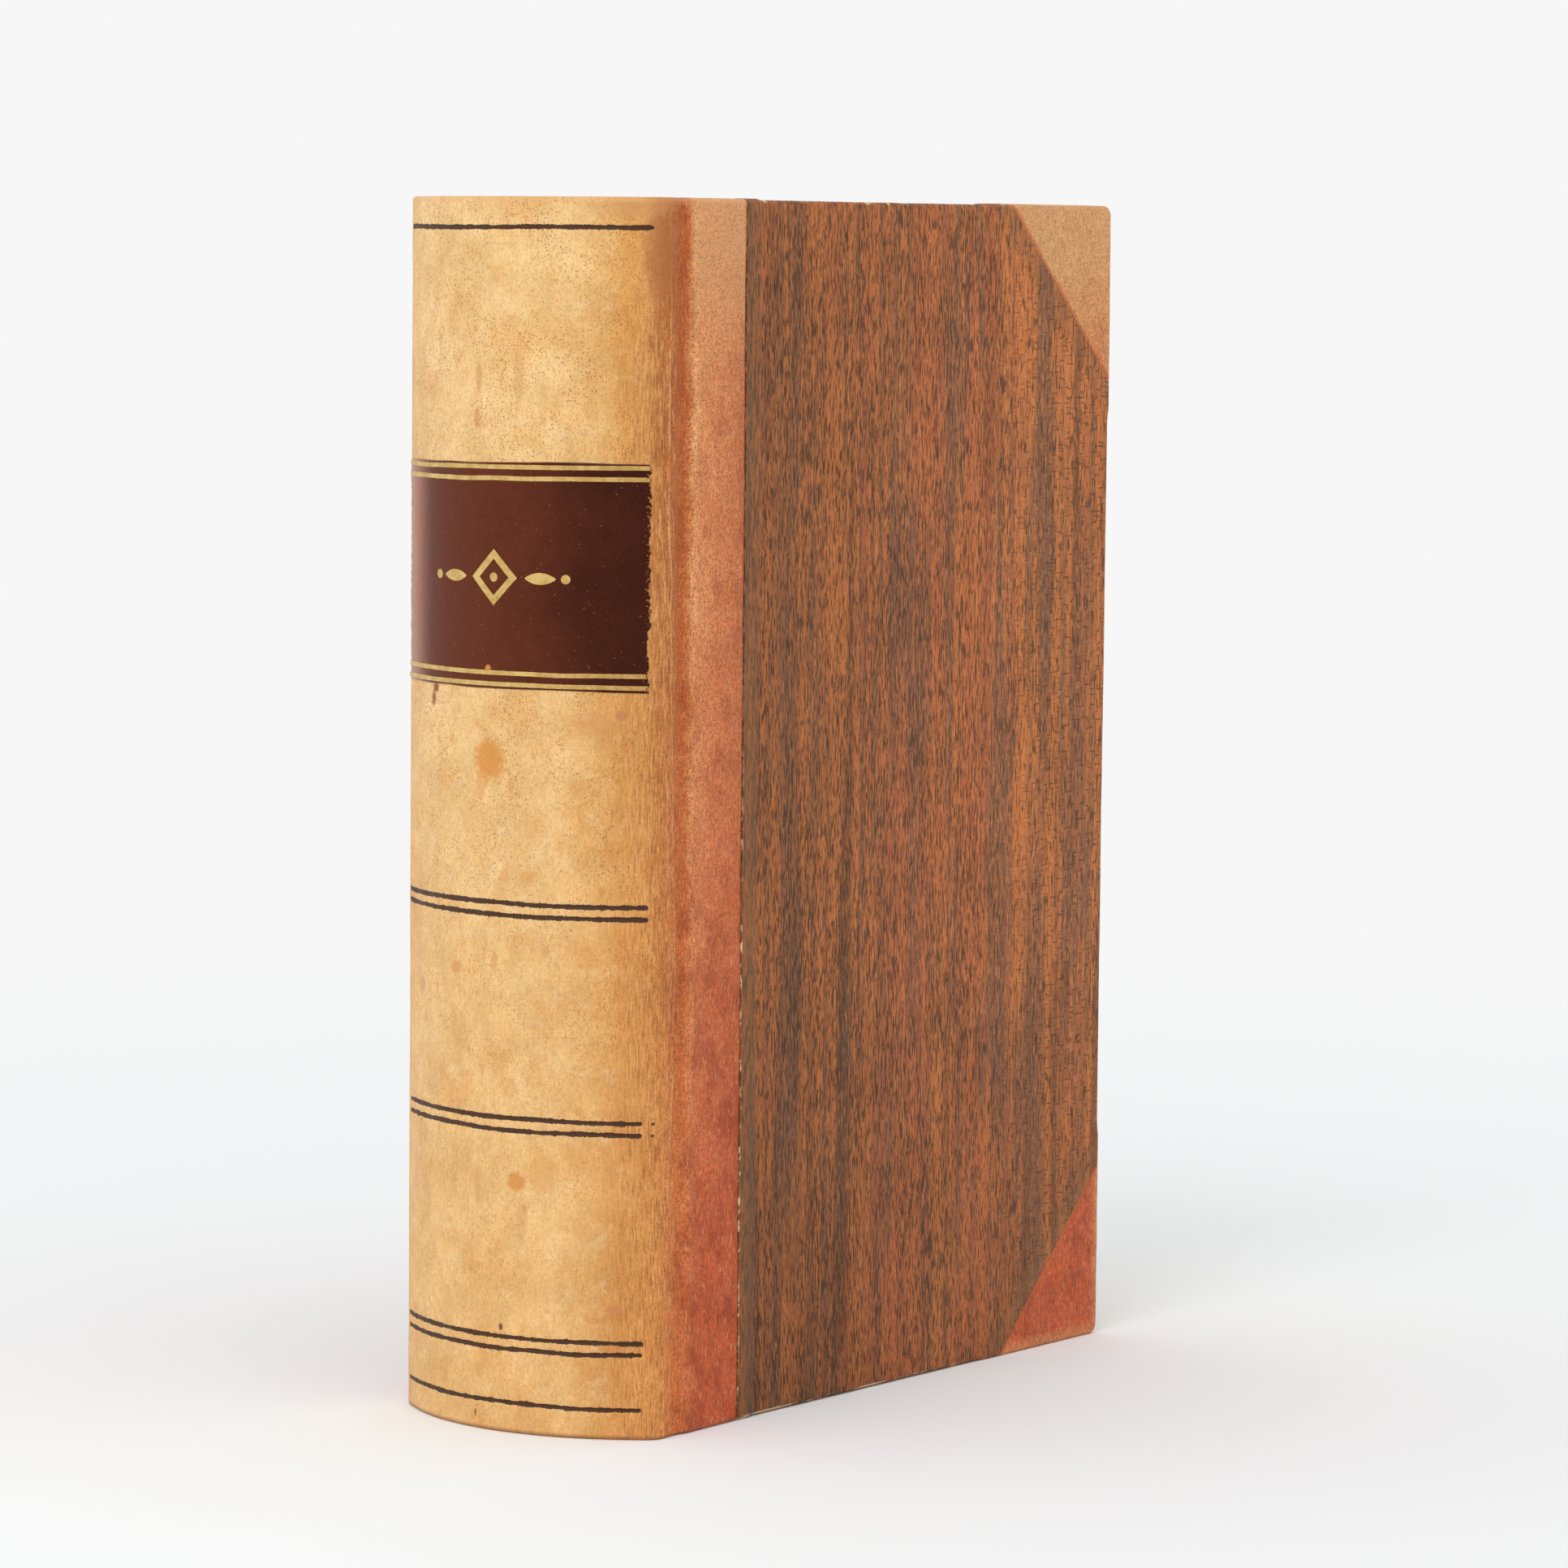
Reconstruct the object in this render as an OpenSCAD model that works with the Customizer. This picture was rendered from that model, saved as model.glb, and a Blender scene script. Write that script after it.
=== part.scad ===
// Half-bound leather book, standing on its tail.
// The spine looks to -X, the front cover to -Y, and the head is up.
// Lengths are in millimetres.

/* [Book] */
// Height of the covers
book_h = 220; // [180:1:260]
// Thickness of the closed book over both covers
book_t = 58.7; // [46:0.1:75]
// Width of a side, from the edge of the spine to the fore edge
side_w = 143.1; // [115:0.1:180]
// How far the round back stands out beyond the edges of the spine
spine_bulge = 9.9; // [7:0.1:13]
// How far the edges of the spine lie below the faces of the covers
side_drop = 2.05; // [1.6:0.05:3]

/* [Joints] */
// Distance from the edge of the spine to the hinge line
joint_x = 7.6; // [6.8:0.1:9]
// Depth of the groove below the face of the cover, at the hinge line
groove_depth = 1.2; // [0.9:0.05:1.6]
// Radius of the rounded shoulder between spine and groove
shoulder_r = 4.5; // [3.5:0.1:5]
// Gap between the hinge line and the edge of the board
board_gap = 1.6; // [1.2:0.1:2.5]
// Gap between the leather of the spine and that of the cover
seam_gap = 0.3; // [0.2:0.05:0.5]
// Running clearance between a cover and the text block
cover_clearance = 0.3; // [0.2:0.05:0.6]

/* [Boards] */
// Thickness of a board
board_t = 3.1; // [2:0.1:5]
// Radius of the worn corners of a board
corner_r = 1.5; // [0.8:0.1:4]
// Radius of the outer edges of a board
edge_r = 0.5; // [0.3:0.05:0.8]
// Radius of the board's edge in the joint, on its outer face
joint_edge_r = 0.8; // [0.4:0.05:1]

/* [Leather and paper] */
// Thickness of the calf on the spine and in the joints
leather_t = 0.8; // [0.6:0.05:1.2]
// Thickness of the calf where it is pared, on corners and edges
pared_t = 0.4; // [0.35:0.05:0.5]
// Thickness of the calf's feathered margin under the paper
feather_t = 0.15; // [0.1:0.05:0.2]
// Thickness of the side paper
paper_t = 0.25; // [0.2:0.05:0.3]
// Width of the calf that shows on a side, from the edge of the spine
side_leather_w = 25; // [16:0.5:40]
// Leg of the leather triangle that shows at a corner
corner_leg = 34.5; // [22:0.5:50]
// Width of calf that runs on under the side paper
paper_lap = 4.5; // [3:0.5:8]
// Width of the leather and paper turned in round the inside of a board
turn_in = 15; // [10:0.5:20]
// Thickness of a pastedown above the turned-in leather
pastedown_t = 0.15; // [0.1:0.05:0.3]
// How far a pastedown stays back from the edges of its board
pastedown_margin = 4; // [3:0.5:7]

/* [Text block] */
// How far the covers stand out beyond the pages at head and tail
square_h = 3; // [2:0.1:5]
// How far the covers stand out beyond the pages at the fore edge
square_f = 3.6; // [2:0.1:6]
// Depth of the hollow in the fore edge
fore_hollow = 6.5; // [4:0.1:9]
// Thickness of a flyleaf
flyleaf_t = 0.25; // [0.2:0.05:0.3]

/* [Spine] */
// Thickness of the lining glued over the back of the pages
lining_t = 0.5; // [0.4:0.05:0.8]
// Inner wall of the flattened paper tube
tube_inner_t = 0.4; // [0.3:0.05:0.6]
// Outer wall of the flattened paper tube, which stiffens the spine
tube_outer_t = 0.7; // [0.5:0.05:1]
// Gap between the two walls of the tube
hollow_gap = 0.7; // [0.6:0.05:1]
// Depth to which the leather is turned in at head and tail
cap_turn = 14; // [8:0.5:20]
// Thickness of the turned-in leather
cap_turn_t = 0.5; // [0.4:0.05:0.6]

/* [Sewing] */
// Number of sewing cords
cord_count = 5; // [3:1:7]
// Diameter of a sewing cord
cord_d = 1.8; // [1.2:0.1:2.4]
// Clearance of a cord in its kerf
cord_clearance = 0.1; // [0.05:0.05:0.2]
// Distance of the first and last cord from the ends of the pages
cord_end = 22; // [15:1:30]
// Length of a frayed cord slip on its board
slip_len = 15; // [10:0.5:18]
// Width of a slip at its frayed end
slip_w = 9; // [6:0.5:12]
// Thickness of a slip, let into the board
slip_t = 0.6; // [0.4:0.05:1]

/* [Endbands] */
// Diameter of an endband
band_d = 2.2; // [1.6:0.1:2.6]
// Pitch of the silk wound round an endband
silk_pitch = 2; // [1.5:0.1:3]
// How far the silk stands proud of the core
silk_proud = 0.15; // [0.1:0.05:0.25]

/* [Label] */
// Height of the bottom edge of the label
label_z = 133.2; // [100:0.1:150]
// Height of the label
label_h = 39.4; // [25:0.1:50]
// Thickness of the label
label_t = 0.3; // [0.25:0.05:0.4]
// Width of a gilt line
gilt_w = 0.8; // [0.6:0.05:1.2]
// Distance from the edge of the label to its outer gilt line
gilt_edge = 0.4; // [0.3:0.05:1]
// Distance from one gilt line of a pair to the other, centre to centre
gilt_pitch = 2; // [1.5:0.05:2.5]
// Thickness of the gold
gilt_t = 0.1; // [0.05:0.05:0.15]
// Width of the gilt ornament
ornament_w = 30; // [16:1:36]
// Height of the gilt ornament
ornament_h = 10; // [6:0.5:14]

/* [Stamped rules] */
// Width of a stamped rule
rule_w = 0.8; // [0.5:0.05:1.2]
// Depth of a stamped rule
rule_depth = 0.2; // [0.1:0.05:0.3]
// Distance between the two rules of a pair
rule_pitch = 2.1; // [1.5:0.1:3]
// Distance of the single rules from head and tail
rule_end = 5.45; // [4:0.05:9]
// Height of the lowest pair of rules
rule_pair_1 = 15.2; // [12:0.1:25]
// Height of the middle pair of rules
rule_pair_2 = 54.6; // [40:0.1:70]
// Height of the highest pair of rules
rule_pair_3 = 93; // [75:0.1:110]

/* [Hidden] */
$fn = 96;

// Faces of a cover, as distances from the middle plane of the book
face_q = book_t / 2;
board_out_q = face_q - leather_t;
board_in_q = board_out_q - board_t;
inner_q = board_in_q - pared_t - pastedown_t;
pages_q = inner_q - cover_clearance - flyleaf_t;

// Edges of a board
board_x0 = joint_x + board_gap;
board_x1 = side_w - pared_t;
board_z0 = pared_t;
board_z1 = book_h - pared_t;

// The bottom of the groove, where the leather bends when a cover opens
groove_q = face_q - groove_depth;
seam_x0 = joint_x - seam_gap / 2;
seam_x1 = joint_x + seam_gap / 2;

// The round back: all its layers share one axis
spine_half = face_q - side_drop;
spine_r = (pow(spine_half, 2) + pow(spine_bulge, 2)) / (2 * spine_bulge);
spine_cx = spine_r - spine_bulge;
spine_a = asin(spine_half / spine_r);
shoulder_c = [shoulder_r * cos(spine_a), spine_half - shoulder_r * sin(spine_a)];
crest_q = shoulder_c[1] + shoulder_r;
leather_in_r = spine_r - leather_t;
tube_out_r = leather_in_r - tube_outer_t;
tube_in_r = tube_out_r - hollow_gap;
lining_out_r = tube_in_r - tube_inner_t;
pages_r = lining_out_r - lining_t;
layer_a = spine_a - 2;
tube_fold_a = 1;

// The pages
pages_z0 = square_h;
pages_z1 = book_h - square_h;
pages_h = pages_z1 - pages_z0;
pages_x1 = side_w - square_f;
shoulder_top_q = groove_q - leather_t - flyleaf_t - cover_clearance / 2;
shoulder_top_x = spine_cx - sqrt(pow(pages_r, 2) - pow(shoulder_top_q, 2));
shoulder_foot_x = board_x0 - cover_clearance;
fore_r = (pow(pages_q, 2) + pow(fore_hollow, 2)) / (2 * fore_hollow);

// Endbands lie on the ends of the pages, close to the back
band_in = 0.4;
band_r = pages_r - band_in - band_d / 2;
band_a = layer_a - 3;
silk_count = floor(2 * band_a * PI / 180 * band_r / silk_pitch);

// Sewing cords
cord_pitch = (pages_h - 2 * cord_end) / (cord_count - 1);
kerf_d = cord_d + 2 * cord_clearance;
cord_r = pages_r - kerf_d / 2;
cord_a = layer_a - 1;
slip_root_w = 2 * cord_d;

// Heights of the stamped rules
rule_heights = [rule_end, rule_pair_1, rule_pair_1 + rule_pitch, rule_pair_2, rule_pair_2 + rule_pitch,
    rule_pair_3, rule_pair_3 + rule_pitch, book_h - rule_end];

// Middle of the whole book from spine to fore edge, where the origin lies
mid_x = (side_w - spine_bulge - label_t - gilt_t) / 2;
far = 2 * (book_h + side_w);

// Colours
calf = [0.80, 0.60, 0.36];
calf_worn = [0.74, 0.44, 0.24];
label_brown = [0.22, 0.13, 0.09];
gold = [0.80, 0.62, 0.26];
mahogany = [0.45, 0.24, 0.14];
page = [0.88, 0.80, 0.64];
leaf = [0.90, 0.84, 0.72];
grey_board = [0.55, 0.50, 0.43];
hemp = [0.72, 0.62, 0.44];
silk = [0.62, 0.20, 0.14];
lining_grey = [0.70, 0.66, 0.58];

// Moves from the spine's own X, which starts at the edge of the spine, to the book's
module place() translate([-mid_x, 0, 0]) children();

// A cover is drawn for the front, and the back one is its mirror image
module side(back) place() mirror([0, back ? 1 : 0, 0]) children();

// Points of a circular arc from one angle to another
function arc(c, r, a0, a1, n = 8) =
    [for (i = [0:n]) let (a = a0 + (a1 - a0) * i / n) c + r * [cos(a), sin(a)]];

// Extrudes an outline of X and distance from the middle plane, from one height to another
module upright(z0, z1) translate([0, 0, z0]) linear_extrude(height = z1 - z0) mirror([0, 1]) children();

// Block from X, distance from the middle plane, and height
module block(x0, x1, q0, q1, z0, z1) translate([x0, -q1, z0]) cube([x1 - x0, q1 - q0, z1 - z0]);

// Turns a profile of radius and height round the axis of the spine, to the same angle on both sides
module around_back(a) translate([spine_cx, 0, 0]) rotate([0, 0, 180 - a])
    rotate_extrude(angle = 2 * a) children();

// One layer of the round back
module layer(r0, r1, z0, z1, a) around_back(a) translate([r0, z0]) square([r1 - r0, z1 - z0]);

// Pages, rounded and backed, with the hollow fore edge that the rounding gives
module pages_outline() {
    difference() {
        union() {
            intersection() {
                translate([spine_cx, 0]) circle(pages_r);
                polygon([[-spine_bulge, -shoulder_top_q], [shoulder_top_x + flyleaf_t, -shoulder_top_q],
                    [shoulder_foot_x, -pages_q], [spine_cx, -pages_q], [spine_cx, pages_q],
                    [shoulder_foot_x, pages_q], [shoulder_top_x + flyleaf_t, shoulder_top_q],
                    [-spine_bulge, shoulder_top_q]]);
            }
            translate([shoulder_foot_x, -pages_q]) square([pages_x1 - shoulder_foot_x, 2 * pages_q]);
        }
        translate([pages_x1 + fore_r - fore_hollow, 0]) circle(fore_r);
    }
}

module text_block() color(page) place() difference() {
    translate([0, 0, pages_z0]) linear_extrude(height = pages_h) pages_outline();
    for (i = [0:cord_count - 1])
        layer(pages_r - kerf_d, pages_r + 1, cord_z(i) - kerf_d / 2, cord_z(i) + kerf_d / 2, cord_a + 1);
}

// Height of a sewing cord
function cord_z(i) = pages_z0 + cord_end + i * cord_pitch;

// The half of the endpaper that stays on the pages, up to the top of the shoulder
module flyleaf() upright(pages_z0, pages_z1) polygon([
    [pages_x1, pages_q], [shoulder_foot_x, pages_q],
    [shoulder_top_x + flyleaf_t, shoulder_top_q], [shoulder_top_x + flyleaf_t, shoulder_top_q + flyleaf_t],
    [shoulder_top_x + 2 * flyleaf_t, shoulder_top_q + flyleaf_t],
    [shoulder_foot_x + flyleaf_t / 2, pages_q + flyleaf_t], [pages_x1, pages_q + flyleaf_t]]);

module front_flyleaf() color(leaf) side(false) flyleaf();
module back_flyleaf() color(leaf) side(true) flyleaf();

// Cords in their kerfs across the back of the pages
module sewing_cords() color(hemp) place()
    for (i = [0:cord_count - 1])
        around_back(cord_a) translate([cord_r, cord_z(i)]) circle(d = cord_d, $fn = 32);

module spine_lining() color(lining_grey) place() layer(pages_r, lining_out_r, pages_z0, pages_z1, layer_a);

// Sector of a disc round the axis of the spine, between two angles counted from the middle of the back
module sector(r, a0, a1) translate([spine_cx, 0]) polygon(concat([[0, 0]],
    [for (i = [0:6]) let (a = 180 - a0 - (a1 - a0) * i / 6) r / cos((a1 - a0) / 12) * [cos(a), sin(a)]]));

// Flat ring in plan, between two radii and within one angle to both sides
module ring_outline(r0, r1, a) intersection() {
    translate([spine_cx, 0]) difference() {
        circle(r1);
        circle(r0);
    }
    sector(r1 + 1, -a, a);
}

// A paper tube pressed flat, as long as the pages. Its folded sides are trimmed off at both ends,
// where the leather is turned in between its walls.
module spine_hollow() color(lining_grey) place() difference() {
    translate([0, 0, pages_z0]) linear_extrude(height = pages_h) difference() {
        ring_outline(lining_out_r, leather_in_r, layer_a);
        ring_outline(tube_in_r, tube_out_r, layer_a - tube_fold_a);
    }
    for (z = [pages_z0 - 1, pages_z1 - cap_turn], s = [0, 1]) translate([0, 0, z]) mirror([0, s, 0])
        linear_extrude(height = cap_turn + 1) sector(spine_r, layer_a - 1.5 * tube_fold_a, spine_a + 2);
}

// A core with silk wound over it, bent to the back of the pages
module endband() {
    around_back(band_a) translate([band_r, 0]) circle(d = band_d - 2 * silk_proud, $fn = 32);
    for (i = [0:silk_count - 1]) translate([spine_cx, 0, 0])
        rotate([0, 0, 180 - band_a + (i + 0.5) * 2 * band_a / silk_count])
        translate([band_r, -silk_pitch / 4, 0]) rotate([-90, 0, 0])
        cylinder(d = band_d, h = silk_pitch / 2, $fn = 32);
}

module head_endband() color(silk) place() translate([0, 0, pages_z1 + band_d / 2]) endband();
module tail_endband() color(silk) place() translate([0, 0, pages_z0 - band_d / 2]) endband();

// An S-bend joins two level stretches, from p0 to p1, with two arcs: the angle of each arc,
// and the radius of the one arc where the other is r0
function bend_angle(p0, p1) = 2 * atan(abs(p1[1] - p0[1]) / (p1[0] - p0[0]));
function bend_far_r(p0, p1, r0) = (p1[0] - p0[0]) / sin(bend_angle(p0, p1)) - r0;

// Leather of the spine beyond the round back: over the shoulder and down to the groove
module shoulder_outline() {
    crest = [shoulder_c[0], crest_q];
    groove = [seam_x0, groove_q];
    bend = bend_angle(crest, groove);
    far_r = bend_far_r(crest, groove, shoulder_r);
    far_c = groove + [0, far_r];
    polygon(concat(
        [in_wall(0.4)],
        arc(shoulder_c, shoulder_r, 180 - spine_a, 90 - bend),
        arc(far_c, far_r, 270 - bend, 270, 4),
        arc(far_c, far_r + leather_t, 270, 270 - bend, 4),
        arc(shoulder_c, shoulder_r - leather_t, 90 - bend, 180 - spine_a),
        [in_wall(0.75)]));
}

// Point inside the wall of the round back, a little before its edge, at a share of the wall's depth
function in_wall(share) = let (r = spine_r - share * leather_t, a = spine_a - 1)
    [spine_cx - r * cos(a), r * sin(a)];

// The wall, the rounded caps at head and tail, and the ends turned in behind them
module spine_wall_profile() {
    cap_w = leather_t + tube_outer_t + cap_turn_t;
    difference() {
        translate([spine_r - cap_w, cap_w / 2]) square([cap_w, book_h - cap_w]);
        translate([tube_out_r, pages_z0]) square([tube_outer_t, pages_h]);
        translate([0, cap_turn]) square([leather_in_r, book_h - 2 * cap_turn]);
    }
    for (z = [cap_w / 2, book_h - cap_w / 2]) translate([spine_r - cap_w / 2, z]) circle(d = cap_w);
}

module spine_leather() color(calf) place() difference() {
    union() {
        around_back(spine_a) spine_wall_profile();
        for (m = [0, 1]) mirror([0, m, 0]) upright(0, book_h) shoulder_outline();
    }
    for (z = rule_heights)
        layer(spine_r - rule_depth, spine_r + 1, z - rule_w / 2, z + rule_w / 2, spine_a + 0.4);
}

// Heights of the gilt lines on the label
gilt_top = label_h - gilt_edge - gilt_w;
gilt_heights = [gilt_edge, gilt_edge + gilt_pitch, gilt_top - gilt_pitch, gilt_top];

// A lozenge between two leaves and two dots, in place of a title
module ornament_outline() {
    dot = ornament_h / 12;
    leaf_l = ornament_w / 5;
    leaf_r = leaf_l * 0.8;
    leaf_c = sqrt(pow(leaf_r, 2) - pow(leaf_l / 2, 2));
    square_d = ornament_h / sqrt(2);
    difference() {
        rotate(45) square(square_d, center = true);
        rotate(45) square(square_d * 0.65, center = true);
    }
    circle(r = dot, $fn = 24);
    for (s = [-1, 1]) {
        translate([s * (ornament_w / 2 - 3 * dot - leaf_l / 2), 0]) intersection_for(t = [-1, 1])
            translate([0, t * leaf_c]) circle(r = leaf_r, $fn = 48);
        translate([s * (ornament_w / 2 - dot), 0]) circle(r = dot, $fn = 24);
    }
}

module spine_label() color(label_brown) place()
    layer(spine_r, spine_r + label_t, label_z, label_z + label_h, spine_a);

// Gold leaf on the face of the label
module label_gilding() color(gold) place() {
    r0 = spine_r + label_t;
    for (h = gilt_heights) layer(r0, r0 + gilt_t, label_z + h, label_z + h + gilt_w, spine_a);
    intersection() {
        layer(r0, r0 + gilt_t, label_z, label_z + label_h, spine_a - 5);
        translate([spine_cx - r0 - 1, 0, label_z + label_h / 2])
            rotate([90, 0, 90]) linear_extrude(height = spine_bulge) ornament_outline();
    }
}

// Rectangle with round corners, from its lowest and highest values
module round_rect(x0, x1, y0, y1, r) {
    translate([x0 + r, y0]) square([x1 - x0 - 2 * r, y1 - y0]);
    translate([x0, y0 + r]) square([x1 - x0, y1 - y0 - 2 * r]);
    for (x = [x0 + r, x1 - r], y = [y0 + r, y1 - r]) translate([x, y]) circle(r, $fn = 48);
}

// Bar along X with round edges, from its lowest and highest distances and heights
module edge_bar(q0, q1, z0, z1, r) rotate([90, 0, 90]) linear_extrude(height = side_w + 1)
    round_rect(-q1, -q0, z0, z1, r);

// A board grown by t on its faces and its three outer edges
module board_body(t) {
    x1 = board_x1 + t;
    z0 = board_z0 - t;
    z1 = board_z1 + t;
    q0 = board_in_q - t;
    q1 = board_out_q + t;
    r = edge_r + t;
    rj = joint_edge_r + t;
    rc = corner_r + t;
    intersection() {
        upright(z0, z1) difference() {
            round_rect(-board_x0, x1, q0, q1, r);
            translate([-2 * board_x0, 0]) square([3 * board_x0, q1 + 1]);
        }
        upright(z0, z1) union() {
            translate([board_x0 + rj, q0]) square([x1 - board_x0 - rj, q1 - q0]);
            translate([board_x0, q0]) square([rj, q1 - q0 - rj]);
            translate([board_x0 + rj, q1 - rj]) circle(rj, $fn = 48);
        }
        translate([0, -q0, 0]) rotate([90, 0, 0]) linear_extrude(height = q1 - q0)
            round_rect(-board_x0, x1, z0, z1, rc);
        edge_bar(q0, q1, z0, z1, r);
    }
}

// The part of the inside of a board that nothing turned in reaches
module board_window() block(joint_x, side_w - turn_in, 0, board_in_q, turn_in, book_h - turn_in);

// A skin of thickness t round a board, open on the inside beyond the turn-in
module skin(t) difference() {
    board_body(t);
    board_body(0);
    board_window();
}

// Prism over a triangle of a given leg at the head or the tail corner
module corner_prism(leg, head) translate([0, 0, head ? book_h : 0]) mirror([0, 0, head ? 1 : 0])
    translate([0, far / 2, 0]) rotate([90, 0, 0]) linear_extrude(height = far)
    polygon([[side_w + 1, -1], [side_w - leg - 1, -1], [side_w + 1, leg + 1]]);

// Everything on a cover from X x0 on
module beyond(x0) block(x0, far, -far / 2, far / 2, -1, book_h + 1);

// One cord slip, let into the face of the board: narrow at the joint, frayed wide on the board
module slip(z) translate([0, -board_out_q, z]) rotate([-90, 0, 0]) linear_extrude(height = slip_t) polygon([
    [board_x0, -slip_root_w / 2], [board_x0 + slip_len, -slip_w / 2],
    [board_x0 + slip_len, slip_w / 2], [board_x0, slip_root_w / 2]]);

module cord_slips() intersection() {
    board_body(0);
    for (i = [0:cord_count - 1]) slip(cord_z(i));
}

module board() difference() {
    board_body(0);
    cord_slips();
}

module front_board() color(grey_board) side(false) board();
module back_board() color(grey_board) side(true) board();
module front_cord_slips() color(hemp) side(false) cord_slips();
module back_cord_slips() color(hemp) side(true) cord_slips();

// Calf from the groove, up over the spine edge of the board and on to the side paper
module joint_leather_outline() {
    centre = [board_x0 + joint_edge_r, board_out_q - joint_edge_r];
    crest_r = joint_edge_r + leather_t;
    groove = [seam_x1, groove_q];
    crest = centre + [0, crest_r];
    bend = bend_angle(groove, crest);
    near_r = bend_far_r(groove, crest, crest_r);
    near_c = groove + [0, near_r];
    turned_q = board_in_q - pared_t;
    polygon(concat(
        arc(near_c, near_r, 270, 270 + bend),
        arc(centre, crest_r, 90 + bend, 90),
        [[side_leather_w, board_out_q + pared_t], [side_leather_w, turned_q],
            [board_x0, turned_q], [board_x0, centre[1]]],
        arc(near_c, near_r + leather_t, 270 + bend, 270)));
}

module joint_leather() {
    difference() {
        intersection() {
            upright(0, book_h) joint_leather_outline();
            edge_bar(board_in_q - pared_t, face_q, 0, book_h, edge_r + pared_t);
        }
        board_body(0);
        board_window();
    }
    difference() {
        skin(feather_t);
        beyond(side_leather_w + paper_lap);
        block(-far, side_leather_w, -far, far, -1, book_h + 1);
    }
}

module front_joint_leather() color(calf_worn) side(false) joint_leather();
module back_joint_leather() color(calf_worn) side(true) joint_leather();

// Leather triangle over a corner, with its margin under the side paper
module corner_leather(head) {
    intersection() {
        skin(pared_t);
        corner_prism(corner_leg, head);
    }
    intersection() {
        skin(feather_t);
        difference() {
            corner_prism(corner_leg + paper_lap, head);
            corner_prism(corner_leg, head);
        }
    }
}

module front_head_corner() color(calf_worn) side(false) corner_leather(true);
module front_tail_corner() color(calf_worn) side(false) corner_leather(false);
module back_head_corner() color(calf_worn) side(true) corner_leather(true);
module back_tail_corner() color(calf_worn) side(true) corner_leather(false);

// Paper over the board, raised where it laps over the margins of the leather
module side_paper() difference() {
    union() {
        intersection() {
            skin(paper_t);
            beyond(side_leather_w);
        }
        intersection() {
            skin(pared_t);
            union() {
                block(side_leather_w, side_leather_w + paper_lap, -far, far, -1, book_h + 1);
                for (head = [true, false]) corner_prism(corner_leg + paper_lap, head);
            }
        }
    }
    for (head = [true, false]) {
        corner_prism(corner_leg, head);
        intersection() {
            board_body(feather_t);
            corner_prism(corner_leg + paper_lap, head);
        }
    }
    difference() {
        board_body(feather_t);
        beyond(side_leather_w + paper_lap);
    }
}

module front_side_paper() color(mahogany) side(false) side_paper();
module back_side_paper() color(mahogany) side(true) side_paper();

// The half of the endpaper that is glued to the board, over everything turned in
module pastedown() difference() {
    block(board_x0, side_w - pastedown_margin, inner_q, board_in_q,
        pastedown_margin, book_h - pastedown_margin);
    skin(pared_t);
}

module front_pastedown() color(leaf) side(false) pastedown();
module back_pastedown() color(leaf) side(true) pastedown();

text_block();
front_flyleaf();
back_flyleaf();
sewing_cords();
spine_lining();
spine_hollow();
head_endband();
tail_endband();
spine_leather();
spine_label();
label_gilding();
front_board();
front_cord_slips();
front_joint_leather();
front_head_corner();
front_tail_corner();
front_side_paper();
front_pastedown();
back_board();
back_cord_slips();
back_joint_leather();
back_head_corner();
back_tail_corner();
back_side_paper();
back_pastedown();
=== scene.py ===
# A half-bound leather book: its dress of calf, mahogany-figured paper, gilding and pages on the solids.
import math

import bmesh
import bpy
import numpy as np
from mathutils import Matrix, Vector


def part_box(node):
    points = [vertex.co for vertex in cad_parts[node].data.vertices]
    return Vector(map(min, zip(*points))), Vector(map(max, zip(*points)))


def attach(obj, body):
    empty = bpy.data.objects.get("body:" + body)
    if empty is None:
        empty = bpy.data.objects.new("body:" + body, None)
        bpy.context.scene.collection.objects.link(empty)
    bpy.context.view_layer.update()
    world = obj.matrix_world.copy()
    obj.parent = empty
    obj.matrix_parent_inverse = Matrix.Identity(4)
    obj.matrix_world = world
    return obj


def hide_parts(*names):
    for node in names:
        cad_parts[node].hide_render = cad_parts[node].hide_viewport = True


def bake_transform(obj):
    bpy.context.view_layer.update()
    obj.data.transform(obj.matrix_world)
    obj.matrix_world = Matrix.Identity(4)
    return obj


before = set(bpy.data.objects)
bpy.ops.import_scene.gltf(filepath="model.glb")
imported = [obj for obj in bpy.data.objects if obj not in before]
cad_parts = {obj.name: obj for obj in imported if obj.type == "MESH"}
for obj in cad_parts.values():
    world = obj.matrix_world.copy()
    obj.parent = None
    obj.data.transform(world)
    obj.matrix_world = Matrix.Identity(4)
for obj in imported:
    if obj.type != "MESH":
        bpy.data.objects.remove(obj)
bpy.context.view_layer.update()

# Sizes of the book in millimetres, as in its solids. X runs from the edge of the spine to the fore edge,
# q is the distance from the middle plane of the book, and z is the height above the tail.
MM = 0.001
BOOK_H = 220.0
SIDE_W = 143.1
FACE_Q = 29.35
SPINE_BULGE = 9.9
SIDE_DROP = 2.05
LEATHER_T = 0.8
PARED_T = 0.4
BOARD_T = 3.1
JOINT_X = 7.6
JOINT_FLAT = 0.15
SEAM_X = 5.2
GROOVE_DEPTH = 1.2
SHOULDER_R = 4.5
BOARD_X0 = 9.2
PARING_X = 12
BOARD_EDGE_R = 1.6
EDGE_R = 0.7
BOARD_CORNER_R = 1.5
SIDE_LEATHER_W = 25.0
CORNER_LEG = 34.5
PAPER_LAP = 4.5
PAPER_T = 0.2
TURN_IN = 15.0
CAP_TURN = 14.0
CAP_W = 2.0
JOINT_WRAP = 1.3
WRAP_R = 0.95
SKIN_IN = 0.5
SKIN_PARED = 0.12
LAP_DROP = 0.2
LABEL_Z = 133.2
LABEL_H = 39.4
LABEL_T = 0.3
GILT_T = 0.06
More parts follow.
